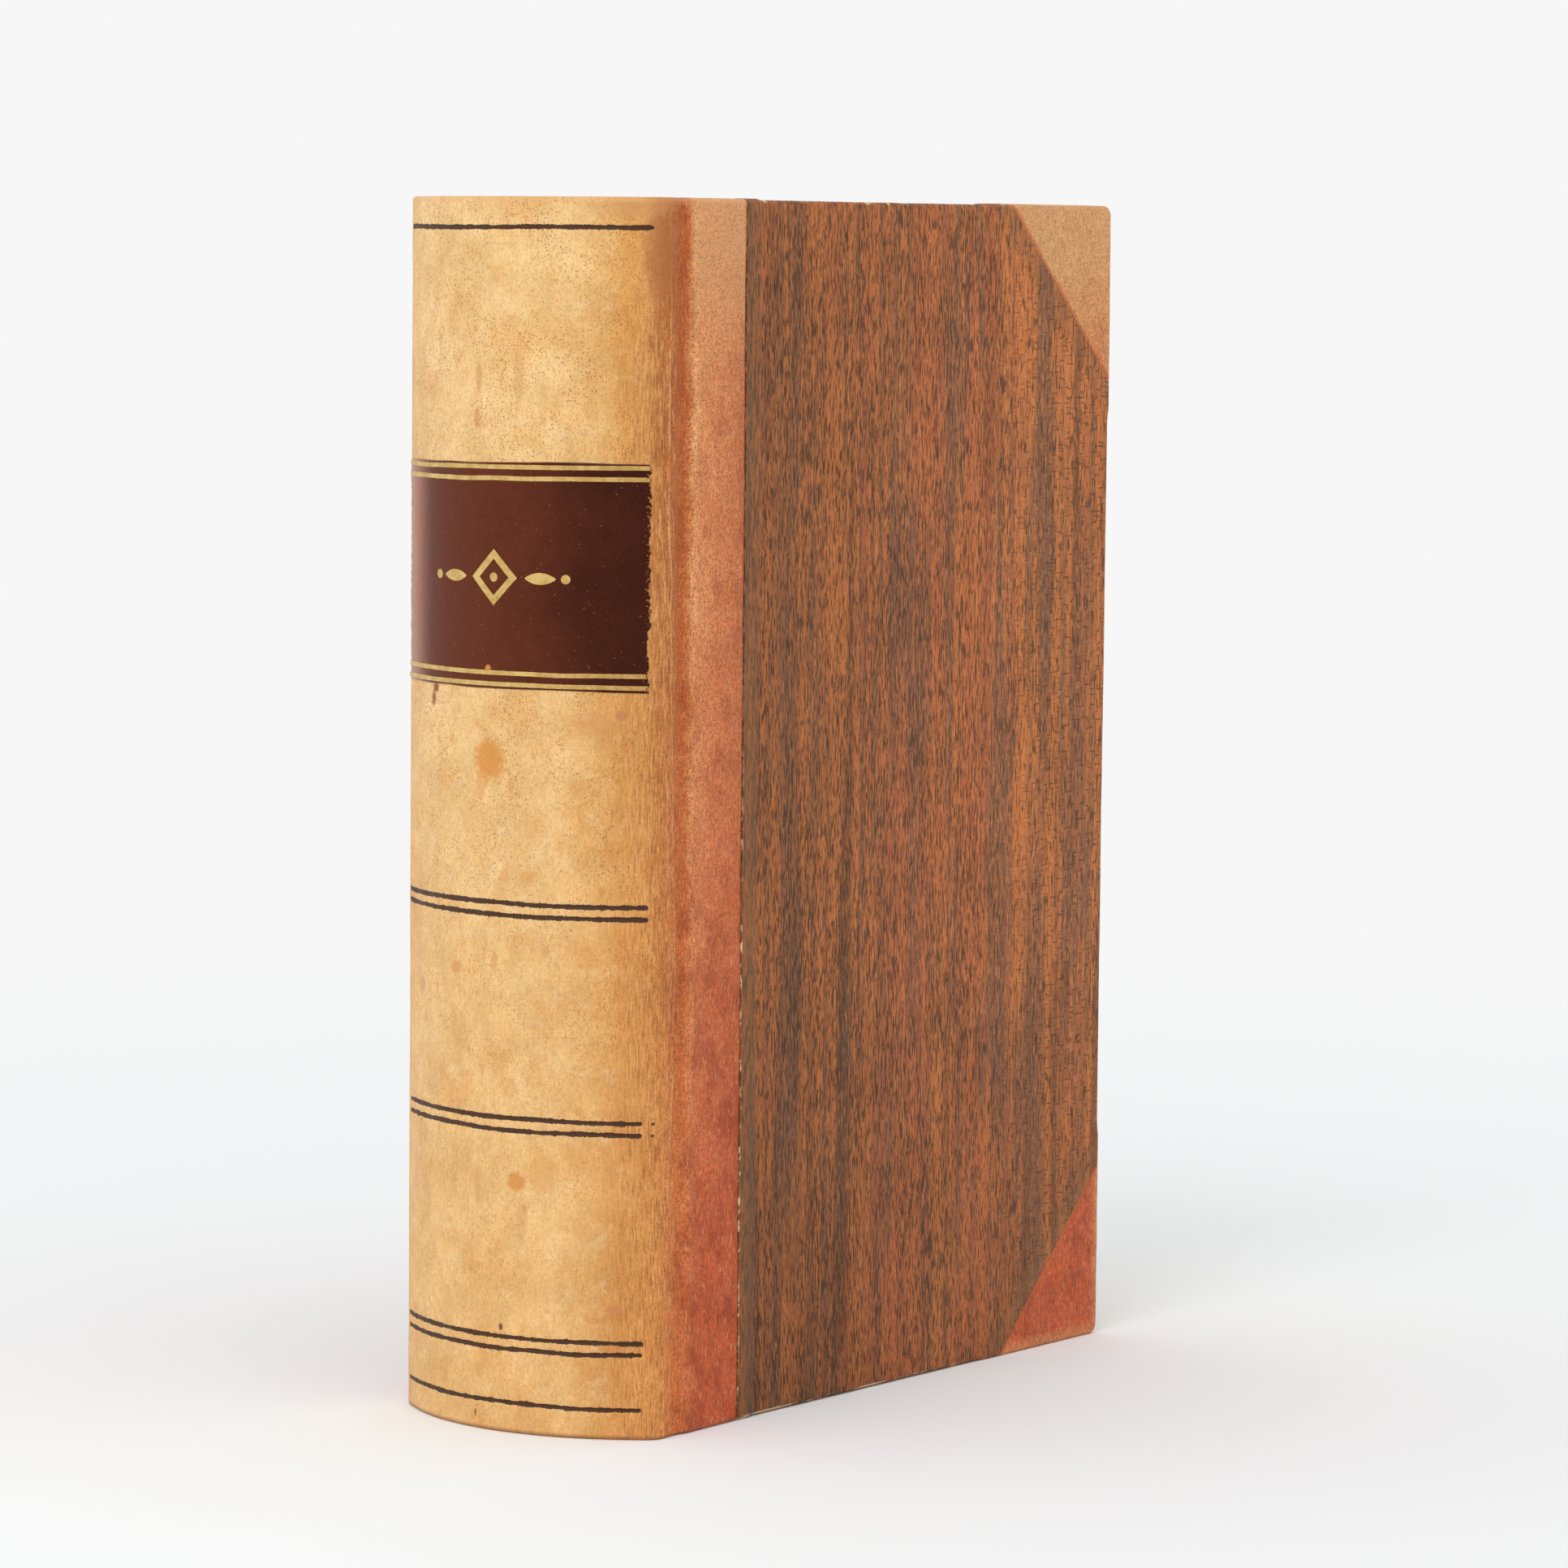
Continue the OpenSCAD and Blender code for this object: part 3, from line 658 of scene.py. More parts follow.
# Stains on the back: place, radii, colour and strength
STAINS = (((-4.0, 188.0), (0.9, 3.6), (206, 146, 84), 0.6), ((-4.4, 180.8), (0.9, 2.0), (204, 140, 80), 0.65),
          ((5.0, 188.5), (1.2, 7.0), (214, 160, 98), 0.45), ((9.8, 184.0), (0.9, 5.0), (216, 162, 100), 0.4),
          ((-16.2, 132.4), (1.2, 1.0), (130, 52, 30), 0.85), ((-17.0, 130.4), (0.9, 1.5), (140, 60, 34), 0.8),
          ((-1.2, 120.4), (4.0, 4.6), (216, 142, 62), 0.85), ((-3.0, 115.8), (1.6, 2.6), (224, 156, 84), 0.6),
          ((19.5, 127.5), (5.5, 3.2), (210, 148, 88), 0.45), ((24.5, 129.0), (1.3, 1.2), (190, 118, 80), 0.6),
          ((16.6, 116.0), (1.7, 2.2), (216, 154, 82), 0.55), ((17.5, 112.6), (1.6, 0.9), (216, 154, 82), 0.5),
          ((3.7, 115.8), (0.8, 1.8), (208, 140, 82), 0.5), ((7.4, 99.8), (2.0, 1.8), (222, 158, 90), 0.5),
          ((2.5, 99.9), (1.4, 1.6), (222, 158, 90), 0.5), ((21.3, 97.8), (0.7, 1.3), (200, 130, 76), 0.5),
          ((-9.4, 82.7), (1.6, 1.6), (214, 146, 76), 0.7), ((-21.5, 78.5), (1.8, 1.8), (206, 150, 112), 0.5),
          ((0.2, 84.3), (0.9, 2.2), (212, 148, 84), 0.5), ((11.0, 87.0), (1.0, 1.4), (212, 148, 84), 0.45),
          ((17.4, 58.6), (1.2, 0.8), (214, 150, 84), 0.5), ((10.6, 47.4), (3.4, 4.2), (220, 158, 90), 0.5),
          ((5.4, 45.5), (2.2, 2.1), (212, 142, 66), 0.8), ((-3.2, 43.5), (0.9, 4.0), (208, 150, 96), 0.4),
          ((6.6, 38.6), (1.2, 4.5), (212, 152, 92), 0.4), ((24.1, 23.3), (1.6, 1.4), (204, 130, 80), 0.6),
          ((2.2, 19.0), (0.5, 0.8), (110, 58, 32), 0.9), ((-3.7, 2.9), (0.35, 0.9), (120, 66, 38), 0.8),
          ((30.7, 56.7), (0.4, 0.35), (70, 38, 24), 0.9), ((30.6, 54.6), (0.45, 0.35), (70, 38, 24), 0.9),
          ((31.5, 211.0), (4.5, 10.0), (176, 108, 58), 0.5), ((26.0, 218.0), (9.0, 2.0), (204, 148, 96), 0.5))
# Colours that multiply the calf's own
HONEY = (245, 214, 170)
TANNED = (240, 222, 190)
DEEP_RED = (204, 176, 156)
# Colours that are laid over it
CREAM = (246, 218, 172)
BLOT_TAN = (218, 152, 86)
PORE_BROWN = (174, 82, 36)
SIDE_PORE = (118, 60, 40)
PALE_TAN = (236, 176, 124)
SCUFFED = (246, 214, 168)
FADED_HEAD, FADED_CORNER = (228, 174, 118), (228, 180, 120)
# Painted light and shade of fine upright creases in the joints
CREASE_HIGHLIGHT, CREASE_SHADE = (240, 180, 112), (140, 80, 44)
# Painted highlight along the raised crest beside the groove, its painted shadow, and a second painted
# highlight beside it
CREST_HIGHLIGHT, CREST_SHADOW, SECOND_HIGHLIGHT = (246, 190, 128), (140, 74, 40), (240, 184, 120)
CORNER_RIM = (196, 98, 52)
STAMP_BROWN = (58, 30, 18)
HEAD_RUB, TAIL_SOIL = (230, 174, 118), (158, 88, 50)


def calf_joint(make):
    """What a joint shows, painted into its colour: fine upright lines, and beside the groove a painted
    highlight along the raised crest, with its painted shadow and a second painted highlight beside it.
    """
    upper = make.z.smooth(BOOK_H - 8, 190, 0.15, 1.0)
    reach = make.x.smooth(19, 31, 0.15, 1.0) * make.x.smooth(37, 34.5) * upper
    lines = make.noise(0.3, 3, 0.65, (1, 1, 0.09), warp=0.5)
    # Painted light and shade: pale and dark upright lines for fine creases
    make.tint(lines.smooth(0.53, 0.62, 0, 0.5) * reach, CREASE_HIGHLIGHT)
    make.tint(lines.smooth(0.47, 0.38, 0, 0.55) * reach, CREASE_SHADE)
    bend = make.noise(4.5, 3, 0.6, (1, 1, 0.7), (2, 2, 6)) - 0.5
    past = make.attribute("crease") + (make.noise(0.5, 2, 0.6) - 0.5) * 0.6 + bend * 1.3
    beside = past + 1.7 + bend * 1.4
    broken = make.noise(2.0, 3, 0.6, (1, 1, 0.4), (1, 7, 3)).smooth(0.35, 0.6)
    broken = broken * make.z.smooth(60, 150, 0.5, 1.0) * make.z.smooth(208, 172, 0.2, 1.0)
    # Painted highlight on the crest, its painted shadow, and a second painted highlight beside it
    make.tint(past.hump(-0.45, -0.1, 0.1, 0.35) * (broken * 0.48), CREST_HIGHLIGHT)
    make.tint(past.hump(0.2, 0.5, 0.6, 1.0) * (broken * 0.4), CREST_SHADOW)
    make.tint(beside.hump(-0.4, -0.1, 0.1, 0.3) * (broken * 0.38), SECOND_HIGHLIGHT)


def calf(name, sheet):
    """Aged calf, on the bent sheet of the spine or on a rigid corner."""
    make = Finish(name, sheet)
    make.fine = make.noise(1.1, 3, 0.6)
    across, on_side, on_back = CORNER_PLACE / CALF_REACH, 1.0, 0.0
    if sheet:
        # Painted light: on the half of the back towards the back cover, which faces the lamp, the tables are
        # read as if nearer the middle, so it comes out paler.
        painted_light_left = make.x.smooth(-2, -16, 0.0, 16.0) * make.x.smooth(-38, -27)
        across = (abs(make.x) - painted_light_left + (make.noise(6, 2, 0.5) - 0.5) * 3.0) / CALF_REACH
        on_side, on_back = abs(make.x).smooth(26, 38), abs(make.x).smooth(30, 20)
    head, tail = (make.ramp(across, [(s / CALF_REACH, colour) for s, colour in table])
                  for table in (CALF_HEAD, CALF_TAIL))
    broad = make.noise(17, 3, 0.55)
    lean = make.z + (broad - 0.5) * 60.0
    make.colour = make.mix(lean.smooth(BOOK_H * 0.98, BOOK_H * 0.02), head, tail)

    # Broad clouds, honey and cream patches, mottling and blots
    make.shade(broad.smooth(0.3, 0.7), 1.02, 1.11)
    make.tint(broad.smooth(0.65, 0.35, 0, 0.35), TANNED, "MULTIPLY")
    make.tint(make.noise(8, 3, 0.6, shift=(31, 5, 9)).smooth(0.48, 0.68, 0, 0.33), HONEY, "MULTIPLY")
    make.tint(make.noise(5, 5, 0.72, shift=(11, 25, 3)).smooth(0.52, 0.68, 0, 0.32) * on_back, CREAM)
    mottle = make.noise(3.4, 4, 0.65, (1, 1, 0.7), (7, 3, 1)).smooth(0.36, 0.64)
    make.shade(mottle, 0.98, 1.05)
    make.tint((1.0 - mottle) * 0.22, TANNED, "MULTIPLY")
    blots = make.noise(2.2, 4, 0.65, (1, 1, 0.7), (23, 7, 5)).smooth(0.60, 0.68, 0, 0.45)
    make.tint(blots * on_back, BLOT_TAN)
    red = make.noise(4.6, 4, 0.68, (1, 1, 0.6), (3, 17, 5)).smooth(0.47, 0.64)
    make.tint(red * on_side * make.z.smooth(190, 60, 0.3, 0.7), DEEP_RED, "MULTIPLY")

    # Grain, pores and scuffs
    grain = make.noise(0.55, 3, 0.6, (1, 1, 0.22))
    tooth = make.noise(0.6, 3, 0.75, (1, 1, 0.6)).smooth(0.36, 0.64)
    make.shade(tooth, 0.90, 1.07)
    make.tint(on_side * 0.8, make.shaded(tooth, 0.80, 1.16))
    make.tint(grain.smooth(0.5, 0.66) * (on_side * 0.30), PORE_BROWN)
    pale = make.noise(0.5, 2, 0.5, (1, 1, 0.2), (9, 9, 9)).smooth(0.56, 0.7)
    make.tint(pale * (on_side * 0.35), PALE_TAN)
    patchy = make.noise(9, 2, 0.5, shift=(3, 8, 2)).smooth(0.36, 0.62, 0.45, 1.0)
    flecks = make.cells(0.43, (1, 1, 0.8)).smooth(0.34, 0.18) * patchy * make.z.smooth(20, 160, 0.45, 0.85)
    make.tint(flecks, PORE_BROWN)
    pricks = make.cells(0.36, (1, 1, 0.7), (5, 1, 7)).smooth(0.36, 0.16)
    scuffs = make.noise(2.4, 5, 0.72, (1, 1, 0.4), (40, 2, 6)).smooth(0.6, 0.78, 0, 0.3)
    make.tint(scuffs * (on_back + 0.3), SCUFFED)

    # Faded places, the joint's painted highlights and shadows, and the rims of a corner
    faded = (make.z + (make.noise(5, 4, 0.6, shift=(8, 2, 14)) - 0.5) * 26.0).smooth(184, 214)
    if sheet:
        make.tint(faded * abs(make.x).smooth(38.5, 40.5, 0, 0.55), FADED_HEAD)
        calf_joint(make)
    else:
        to_end = make.math("MINIMUM", make.z, BOOK_H - make.z)
        rim = make.math("MINIMUM", SIDE_W - MID_X - make.x, to_end).smooth(3.5, 0.8, 0, 0.45)
        toned = make.mix(tooth.smooth(0, 1, 0.55, 0.85), make.colour, FADED_CORNER)
        make.tint(make.math("MAXIMUM", faded * 0.85, rim), toned)
        inside = make.x - to_end - (DIAGONAL - BOOK_H - MID_X)
        make.tint(inside.smooth(1.5, 0.5, 0, 0.75), CORNER_RIM)
    make.tint(pricks * (on_side * 0.85), SIDE_PORE)

    # Stains, the burnt rules, and the rubbed ends
    if sheet:
        for stain in STAINS:
            make.spot(*stain)
        burn = (make.attribute("stamp") + (make.noise(0.4, 2, 0.6) - 0.5) * 1.1).smooth(0.22, 0.42)
        make.tint(burn * 0.96, STAMP_BROWN)
        make.tint(make.z.smooth(BOOK_H - 1.6, BOOK_H - 0.3, 0, 0.4), HEAD_RUB)
        make.tint(make.z.smooth(1.1, 0.3, 0, 0.55), TAIL_SOIL)
    height = make.fine * 0.7 + grain * 0.5 - (flecks + pricks) * 0.4
    rough = make.noise(5, 3, 0.6, shift=(2, 2, 8)).smooth(0.3, 0.7, 0.40, 0.56)
    return make.surface(rough, height, 0.10, 0.7, Specular_IOR_Level=0.22)


# Colours of the label's lit back side and shaded front side, as painted light and shade
LABEL_LIT_TO_SHADED = ((100, 46, 25), (60, 20, 6))
# Painted sheen for the label's back edge, where the view grazes it
LABEL_SHEEN = (190, 122, 92)
LABEL_CHIP, LABEL_SPECK, LABEL_SPOT = (186, 110, 58), (196, 138, 96), (222, 140, 66)


def label_calf():
    """Polished dark calf of uneven tone, paler to the back and darker to the front as painted light and
    shade, with a painted sheen along its back edge, and chipped at its ends.
    """
    make = Finish("label_calf", sheet=True)
    make.fine = make.noise(0.9, 3, 0.6)
    toned = (make.noise(12, 3, 0.6) - 0.5) * 0.35 + make.x * 0.014
    make.colour = make.mix(toned.smooth(-0.10, 0.42), *LABEL_LIT_TO_SHADED)
    # Painted sheen along the back edge of the label
    make.tint(make.x.smooth(-17, -27, 0, 0.75), LABEL_SHEEN)
    make.shade(make.noise(1.4, 4, 0.65, shift=(4, 4, 1)).smooth(0.3, 0.7), 0.93, 1.07)
    chips = make.noise(0.55, 3, 0.6) + abs(make.x).smooth(27.8, 30.0) * 0.2
    make.tint(chips.smooth(0.66, 0.72, 0, 0.8), LABEL_CHIP)
    rare = make.noise(2.3, 2, 0.5, shift=(6, 2, 2)).smooth(0.56, 0.64)
    make.tint(make.cells(0.9, shift=(2, 5, 3)).smooth(0.12, 0.05) * rare, LABEL_SPECK)
    make.spot((-1.2, LABEL_Z + 3.6), (0.8, 0.5), LABEL_SPOT, 0.95, ragged=0.8)
    crackle = make.noise(0.6, 4, 0.6, (1, 1, 0.6))
    rough = make.noise(3, 3, 0.6).smooth(0.3, 0.7, 0.24, 0.36)
    return make.surface(rough, crackle, 0.05, 0.4, Specular_IOR_Level=0.06, Coat_Weight=1.0,
                        Coat_Roughness=0.13, Coat_IOR=1.12)


GOLD_TONES = ((202, 164, 88), (224, 190, 118))
GOLD_DULL, GOLD_WORN = (222, 202, 176), (112, 74, 44)


def gold():
    """Gold leaf, dull to the front and worn through to the leather in specks."""
    make = Finish("dull_gold", sheet=True)
    make.colour = make.mix(make.noise(2.2, 3, 0.6).smooth(0.35, 0.65), *GOLD_TONES)
    make.tint(make.x.smooth(2, 30, 0, 0.75), GOLD_DULL, "MULTIPLY")
    worn = make.noise(0.5, 4, 0.7, shift=(3, 1, 6)).smooth(0.58, 0.66)
    make.tint(worn * 0.8, GOLD_WORN)
    return make.surface(0.42, make.noise(0.35, 3, 0.6), 0.03, 0.6, Metallic=worn.smooth(0.0, 1.0, 0.45, 0.0))


# Rubbed and chipped places at the edges of the side papers: place (X, z) and radii
PAPER_CHIPS = {FRONT: (((30.8, 219.7), (0.8, 0.4)), ((62.6, 219.7), (1.1, 0.4)), ((69.0, 219.7), (0.6, 0.4)),
                       ((36.0, 0.5), (8.5, 0.35)), ((67.0, 0.5), (5.5, 0.3))),
               BACK: (((47.0, 219.7), (0.9, 0.4)), ((96.5, 219.7), (0.7, 0.4)), ((52.0, 0.5), (7.0, 0.3)))}
PAPER_BANDS = ((0.30, (116, 78, 46)), (0.38, (148, 88, 52)), (0.44, (180, 108, 60)), (0.50, (196, 117, 62)),
               (0.55, (176, 104, 58)), (0.60, (148, 96, 62)), (0.66, (186, 110, 61)), (0.74, (204, 124, 66)))
PAPER_RED, PAPER_SMOKE, PAPER_LIGHT = (178, 94, 60), (116, 83, 64), (212, 136, 78)
FLECK_BROWN, DASH_BROWN, CROSS_BROWN = (82, 57, 38), (86, 55, 36), (92, 60, 44)
LAP_GREY, CUT_PALE, CUT_EDGE_AND_SHADOW = (128, 96, 64), (232, 206, 166), (58, 36, 26)
EDGE_PALE, CHIP_PALE = (222, 186, 142), (222, 192, 148)


def side_paper(name, side):
    """Mahogany-figured paper: upright bands with dense short dark flecks."""
    make = Finish(name)
    shift = (0, 0, 0) if side == FRONT else (57, 0, 31)
    leather_x, fore_x = SIDE_LEATHER_W - MID_X, SIDE_W - MID_X
    make.fine = make.noise(0.9, 3, 0.6)

    # Bands, red and smoky clouds
    bands = make.noise(6.5, 2.5, 0.6, (1, 0.2, 0.025), shift, warp=0.3)
    make.colour = make.ramp(bands, PAPER_BANDS)
    make.tint(make.noise(13, 2, 0.5, (1, 0.2, 0.03), (9, 4, 2)).smooth(0.46, 0.58, 0, 0.45), PAPER_RED)
    smoke = make.noise(5.2, 3, 0.6, (1, 0.2, 0.05), (19, 4, 12), warp=0.4)
    make.tint(smoke.smooth(0.51, 0.62, 0, 0.66), PAPER_SMOKE)

    # Flecks and dashes, and marks across them near the fore edge
    crowd = make.noise(4.2, 2, 0.5, (1, 0.3, 0.08), (3, 21, 8)).smooth(0.35, 0.65, -0.035, 0.035)
    lengthwise = make.noise(0.46, 2, 0.55, (1, 0.4, 0.12), shift, warp=0.15)
    fore = make.x.smooth(fore_x - 56, fore_x - 14)
    make.tint((lengthwise + crowd + fore * -0.02).smooth(0.530, 0.565) * 0.85, FLECK_BROWN)
    dashes = make.noise(0.3, 1, 0.5, (1, 0.4, 0.17), (13, 2, 7)).smooth(0.555, 0.60, 0, 0.7)
    make.tint(dashes * fore.smooth(0, 1, 1.0, 0.4), DASH_BROWN)
    light = make.noise(0.36, 2, 0.5, (1, 0.4, 0.15), (33, 8, 3))
    make.tint(light.smooth(0.57, 0.64, 0, 0.45), PAPER_LIGHT)
    crossed = make.noise(0.5, 1, 0.5, (0.22, 0.4, 1.0), (5, 5, 5)).smooth(0.60, 0.64)
    make.tint(crossed * fore * 0.75, CROSS_BROWN)

    # Darker to the tail and to the spine
    make.shade(make.z.smooth(110, 5), 1.0, 0.82)
    make.shade(make.noise(24, 2, 0.5, shift=(6, 1, 1)).smooth(0.3, 0.7), 0.92, 1.08)
    make.shade(make.x.smooth(leather_x, fore_x - 20), 0.88, 1.18)

    # Grey where it laps the leather, frayed along the cut with a dark line that is partly the cut edge and
    # partly painted shadow of the step, rubbed and chipped at the edges
    from_cut = make.x - leather_x
    to_end = make.math("MINIMUM", make.z, BOOK_H - make.z)
    to_corner = to_end + (DIAGONAL - BOOK_H - MID_X) - make.x
    grey = make.math("MAXIMUM", from_cut.smooth(4.8, 3.2, 0, 0.4), to_corner.smooth(7.2, 5.8, 0, 0.28))
    make.tint(grey, LAP_GREY)
    frayed = make.noise(0.9, 4, 0.7, (1, 1, 0.5), (2, 9, 1))
    pale = from_cut.smooth(0.5, 0.15) * frayed.smooth(0.53, 0.6) * make.z.smooth(130, 80, 0.1, 1.0)
    make.tint(pale * 0.9, CUT_PALE)
    # Dark line along the cut in the upper part: partly the paper's cut edge, partly painted shadow at the
    # step between paper and leather
    dark = from_cut.smooth(0.5, 0.1) * make.z.smooth(60, 140, 0.2, 0.75) * frayed.smooth(0.53, 0.45)
    make.tint(dark, CUT_EDGE_AND_SHADOW)
    ends = make.z.smooth(1.0, 0.3, 0, 0.9) + make.z.smooth(BOOK_H - 0.6, BOOK_H - 0.2, 0, 0.5)
    worn = ends * make.noise(2.6, 5, 0.7, (0.4, 1, 1), (8, 8, 1)).smooth(0.54, 0.62)
    rubbed = make.x.smooth(fore_x - 0.7, fore_x - 0.1, 0, 0.6)
    rubbed = rubbed * make.noise(3.0, 5, 0.7, shift=(1, 2, 3)).smooth(0.6, 0.68)
    make.tint(make.math("MAXIMUM", worn, rubbed), EDGE_PALE)
    for place, radii in PAPER_CHIPS[side]:
        make.spot((place[0] - MID_X, place[1]), radii, CHIP_PALE, 0.8)
    rough = make.noise(6, 3, 0.6).smooth(0.3, 0.7, 0.42, 0.56)
    return make.surface(rough, make.fine * 0.5 + lengthwise * 0.5, 0.04, 0.5, Specular_IOR_Level=0.12)


def plain_finish(name, light, dark, cell, stretch=(1, 1, 1), rough=0.8, relief=0.05, sheet=False,
                 foxing=None):
    """Endpaper, board, cord and lining: a two-tone grain of the given cell and stretch."""
    make = Finish(name, sheet)
    grain = make.noise(cell, 4, 0.65, stretch=stretch)
    make.colour = make.mix(grain.smooth(0.3, 0.7), dark, light)
    make.shade(make.noise(cell * 23, 3, 0.6, shift=(4, 2, 9)), 0.90, 1.08)
    if foxing:
        spots = make.cells(7.0, shift=(1, 1, 1)).smooth(0.14, 0.05)
        make.tint(spots * make.noise(21, 2, 0.5).smooth(0.45, 0.65) * 0.5, foxing)
    roughness = make.noise(cell * 9, 2, 0.5).smooth(0.3, 0.7, rough - 0.07, rough + 0.07)
    return make.surface(roughness, grain, relief, 0.7, Specular_IOR_Level=0.25)


LEAF_TONES = ((222, 197, 154), (243, 226, 192))
DUST = (150, 128, 98)
SILK_TONES = ((150, 58, 44), (214, 188, 142))


def page_edges():
    """Edges of the leaves: fine lines along them, toned with age, with darker gatherings and dust on top."""
    make = Finish("page_edges")
    leaves = make.noise(0.35, 3, 0.7, (0.03, 1, 0.03))
    gatherings = make.noise(2.1, 2, 0.5, (0.02, 1, 0.02), (2, 2, 2))
    make.colour = make.mix(leaves.smooth(0.32, 0.68), *LEAF_TONES)
    make.shade(gatherings.smooth(0.3, 0.7), 0.94, 1.05)
    make.shade(make.noise(19, 3, 0.6), 0.90, 1.08)
    make.tint(make.z.smooth(BOOK_H - SQUARE_H - 1.5, BOOK_H - SQUARE_H, 0, 0.4), DUST)
    return make.surface(0.85, leaves, 0.12, 0.8, Specular_IOR_Level=0.2)


def band_silk():
    """Silk wound over the endband in two faded colours."""
    make = Finish("band_silk", sheet=True)
    threads = make.node("ShaderNodeTexWave", [("Vector", make.mm), ("Scale", 1.35), ("Distortion", 0.6),
                                              ("Detail", 1.0)], bands_direction="X").outputs["Fac"]
    stripes = make.math("PINGPONG", make.x, 2.0)
    make.colour = make.mix(stripes.smooth(0.85, 1.15), *SILK_TONES)
    make.shade(threads, 0.8, 1.1)
    return make.surface(0.55, threads, 0.08, 0.6, Specular_IOR_Level=0.4)


CALF_SHEET = calf("calf_sheet", True)
CALF_CORNER = calf("calf_corner", False)
LABEL = label_calf()
GOLD = gold()
PAPERS = {name: side_paper(f"{name}_mahogany_paper", side) for name, side in SIDES.items()}
PAGES = page_edges()
ENDPAPER = plain_finish("endpaper", (242, 225, 193), (229, 208, 172), 0.5, foxing=(186, 140, 86))
FOLD_PAPER = plain_finish("endpaper_fold", (239, 221, 188), (232, 212, 177), 0.5, relief=0.02, sheet=True)
MILLBOARD = plain_finish("millboard", (150, 134, 112), (118, 104, 86), 0.6, rough=0.9, relief=0.12)
HEMP = plain_finish("hemp_cord", (190, 164, 118), (142, 116, 78), 0.35, stretch=(1, 0.3, 1), relief=0.15)
LINING = plain_finish("lining_paper", (196, 184, 158), (170, 156, 130), 0.5, rough=0.9)
SILK = band_silk()


# The pieces of leather

def two_sided(values):
    """Lengths and signs across the whole back, from the lengths on one side."""
    lengths = np.concatenate([values[::-1], values[1:]])
    signs = np.concatenate([-np.ones(len(values)), np.ones(len(values) - 1)])
    return lengths, signs


def make_leather():
    """The spine's calf, and on each side the joint's calf."""
    lengths, signs = two_sided(spacing(((0, 0), (24, 0.8), (SEAM_S, 0.32))))
    spine = leather_sheet("spine_calf", lengths, signs, ["spine_leather"])
    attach(spine, "root")
    lengths = spacing(((SEAM_S, 0), (path_s(PARING_X), 0.28), (PAPER_S - 1, 0.7), (PAPER_S + 0.6, 0.2),
                       (PATH_S[-1], 0.9)))
    for name, side in SIDES.items():
        joint = leather_sheet(f"{name}_joint_calf", lengths, np.full(len(lengths), side),
                              [f"{name}_joint_leather"])
        row_frame(BLEND_X0, FACE_Q, 0, side)
        row_frame(BLEND_X1, FACE_Q, 0, side)
        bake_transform(joint)


def on_back(s, z, lift):
    """Points above the leather of the round back, at lengths s counted to the front."""
    s, z, lift = np.broadcast_arrays(s, z, lift)
    r = SPINE_R + by_side(s >= 0, leather_relief, np.abs(s), z) + lift
    return row_frame(SPINE_CX - r * np.cos(s / SPINE_R), r * np.sin(s / SPINE_R), z)


# The label's thickness at its rim, and its half width for the wander of its edges
LABEL_RIM = 0.10
LABEL_HALF = 30


def label_end(z, side):
    """Length from the middle of the back to the label's ragged end."""
    return SPINE_S - 0.35 + 0.34 * wander(z, 0.6, 201 + side) + 0.2 * wander(z, 4.3, 205 + side)


def label_rise(s, height):
    """How far the upper part of the label was set askew, a little higher to the front."""
    return (0.60 + 0.18 * np.clip(s / 15, -1, 1)) * step(height, LABEL_H / 2 + 5, LABEL_H - 4)


def make_label():
    """The dark label, with soft edges and ragged ends."""
    rows = spacing(((0, 0), (0.8, 0.2), (LABEL_H - 0.8, 0.25), (LABEL_H, 0.2)))
    across = spacing(((-1, 0), (-0.97, 0.007), (0.97, 0.022), (1, 0.007)))[:, None]
    rows = rows[None, :]
    near_edge = step(np.abs(rows - LABEL_H / 2), LABEL_H / 2 - 3, LABEL_H / 2)
    z = LABEL_Z + rows + 0.12 * wander(across * LABEL_HALF, 6, 211) * near_edge
    s = across * by_side(across > 0, label_end, z)
    z = z + label_rise(s, rows)
    inset = np.minimum(np.minimum(rows, LABEL_H - rows), (1 - np.abs(across)) * SPINE_S)
    top = LABEL_RIM + (LABEL_T - LABEL_RIM) * np.sqrt(step(inset, -0.05, 0.5))
    top = top + 0.015 * wander(s, 1.7, 212, z, 1.9)
    grid_piece("spine_label_calf", on_back(s, z, top), on_back(s, z, 0.0), sheet_points(s, 0.0, z), LABEL,
               ["spine_label"], "root")


LOZENGE_HOLE = 0.65
DOT_SHARE = 12
LEAF_CURVE = 0.8


def lozenge_side(turn, share, along):
    """Grid of one side of the lozenge, which is a ring."""
    outer = ORNAMENT_H / 2
    size = outer + (outer * LOZENGE_HOLE - outer) * share
    corners = [(math.cos(k * math.pi / 2), math.sin(k * math.pi / 2)) for k in (turn, turn + 1)]
    return [(start * (1 - along) + end * along) * size for start, end in zip(*corners)]


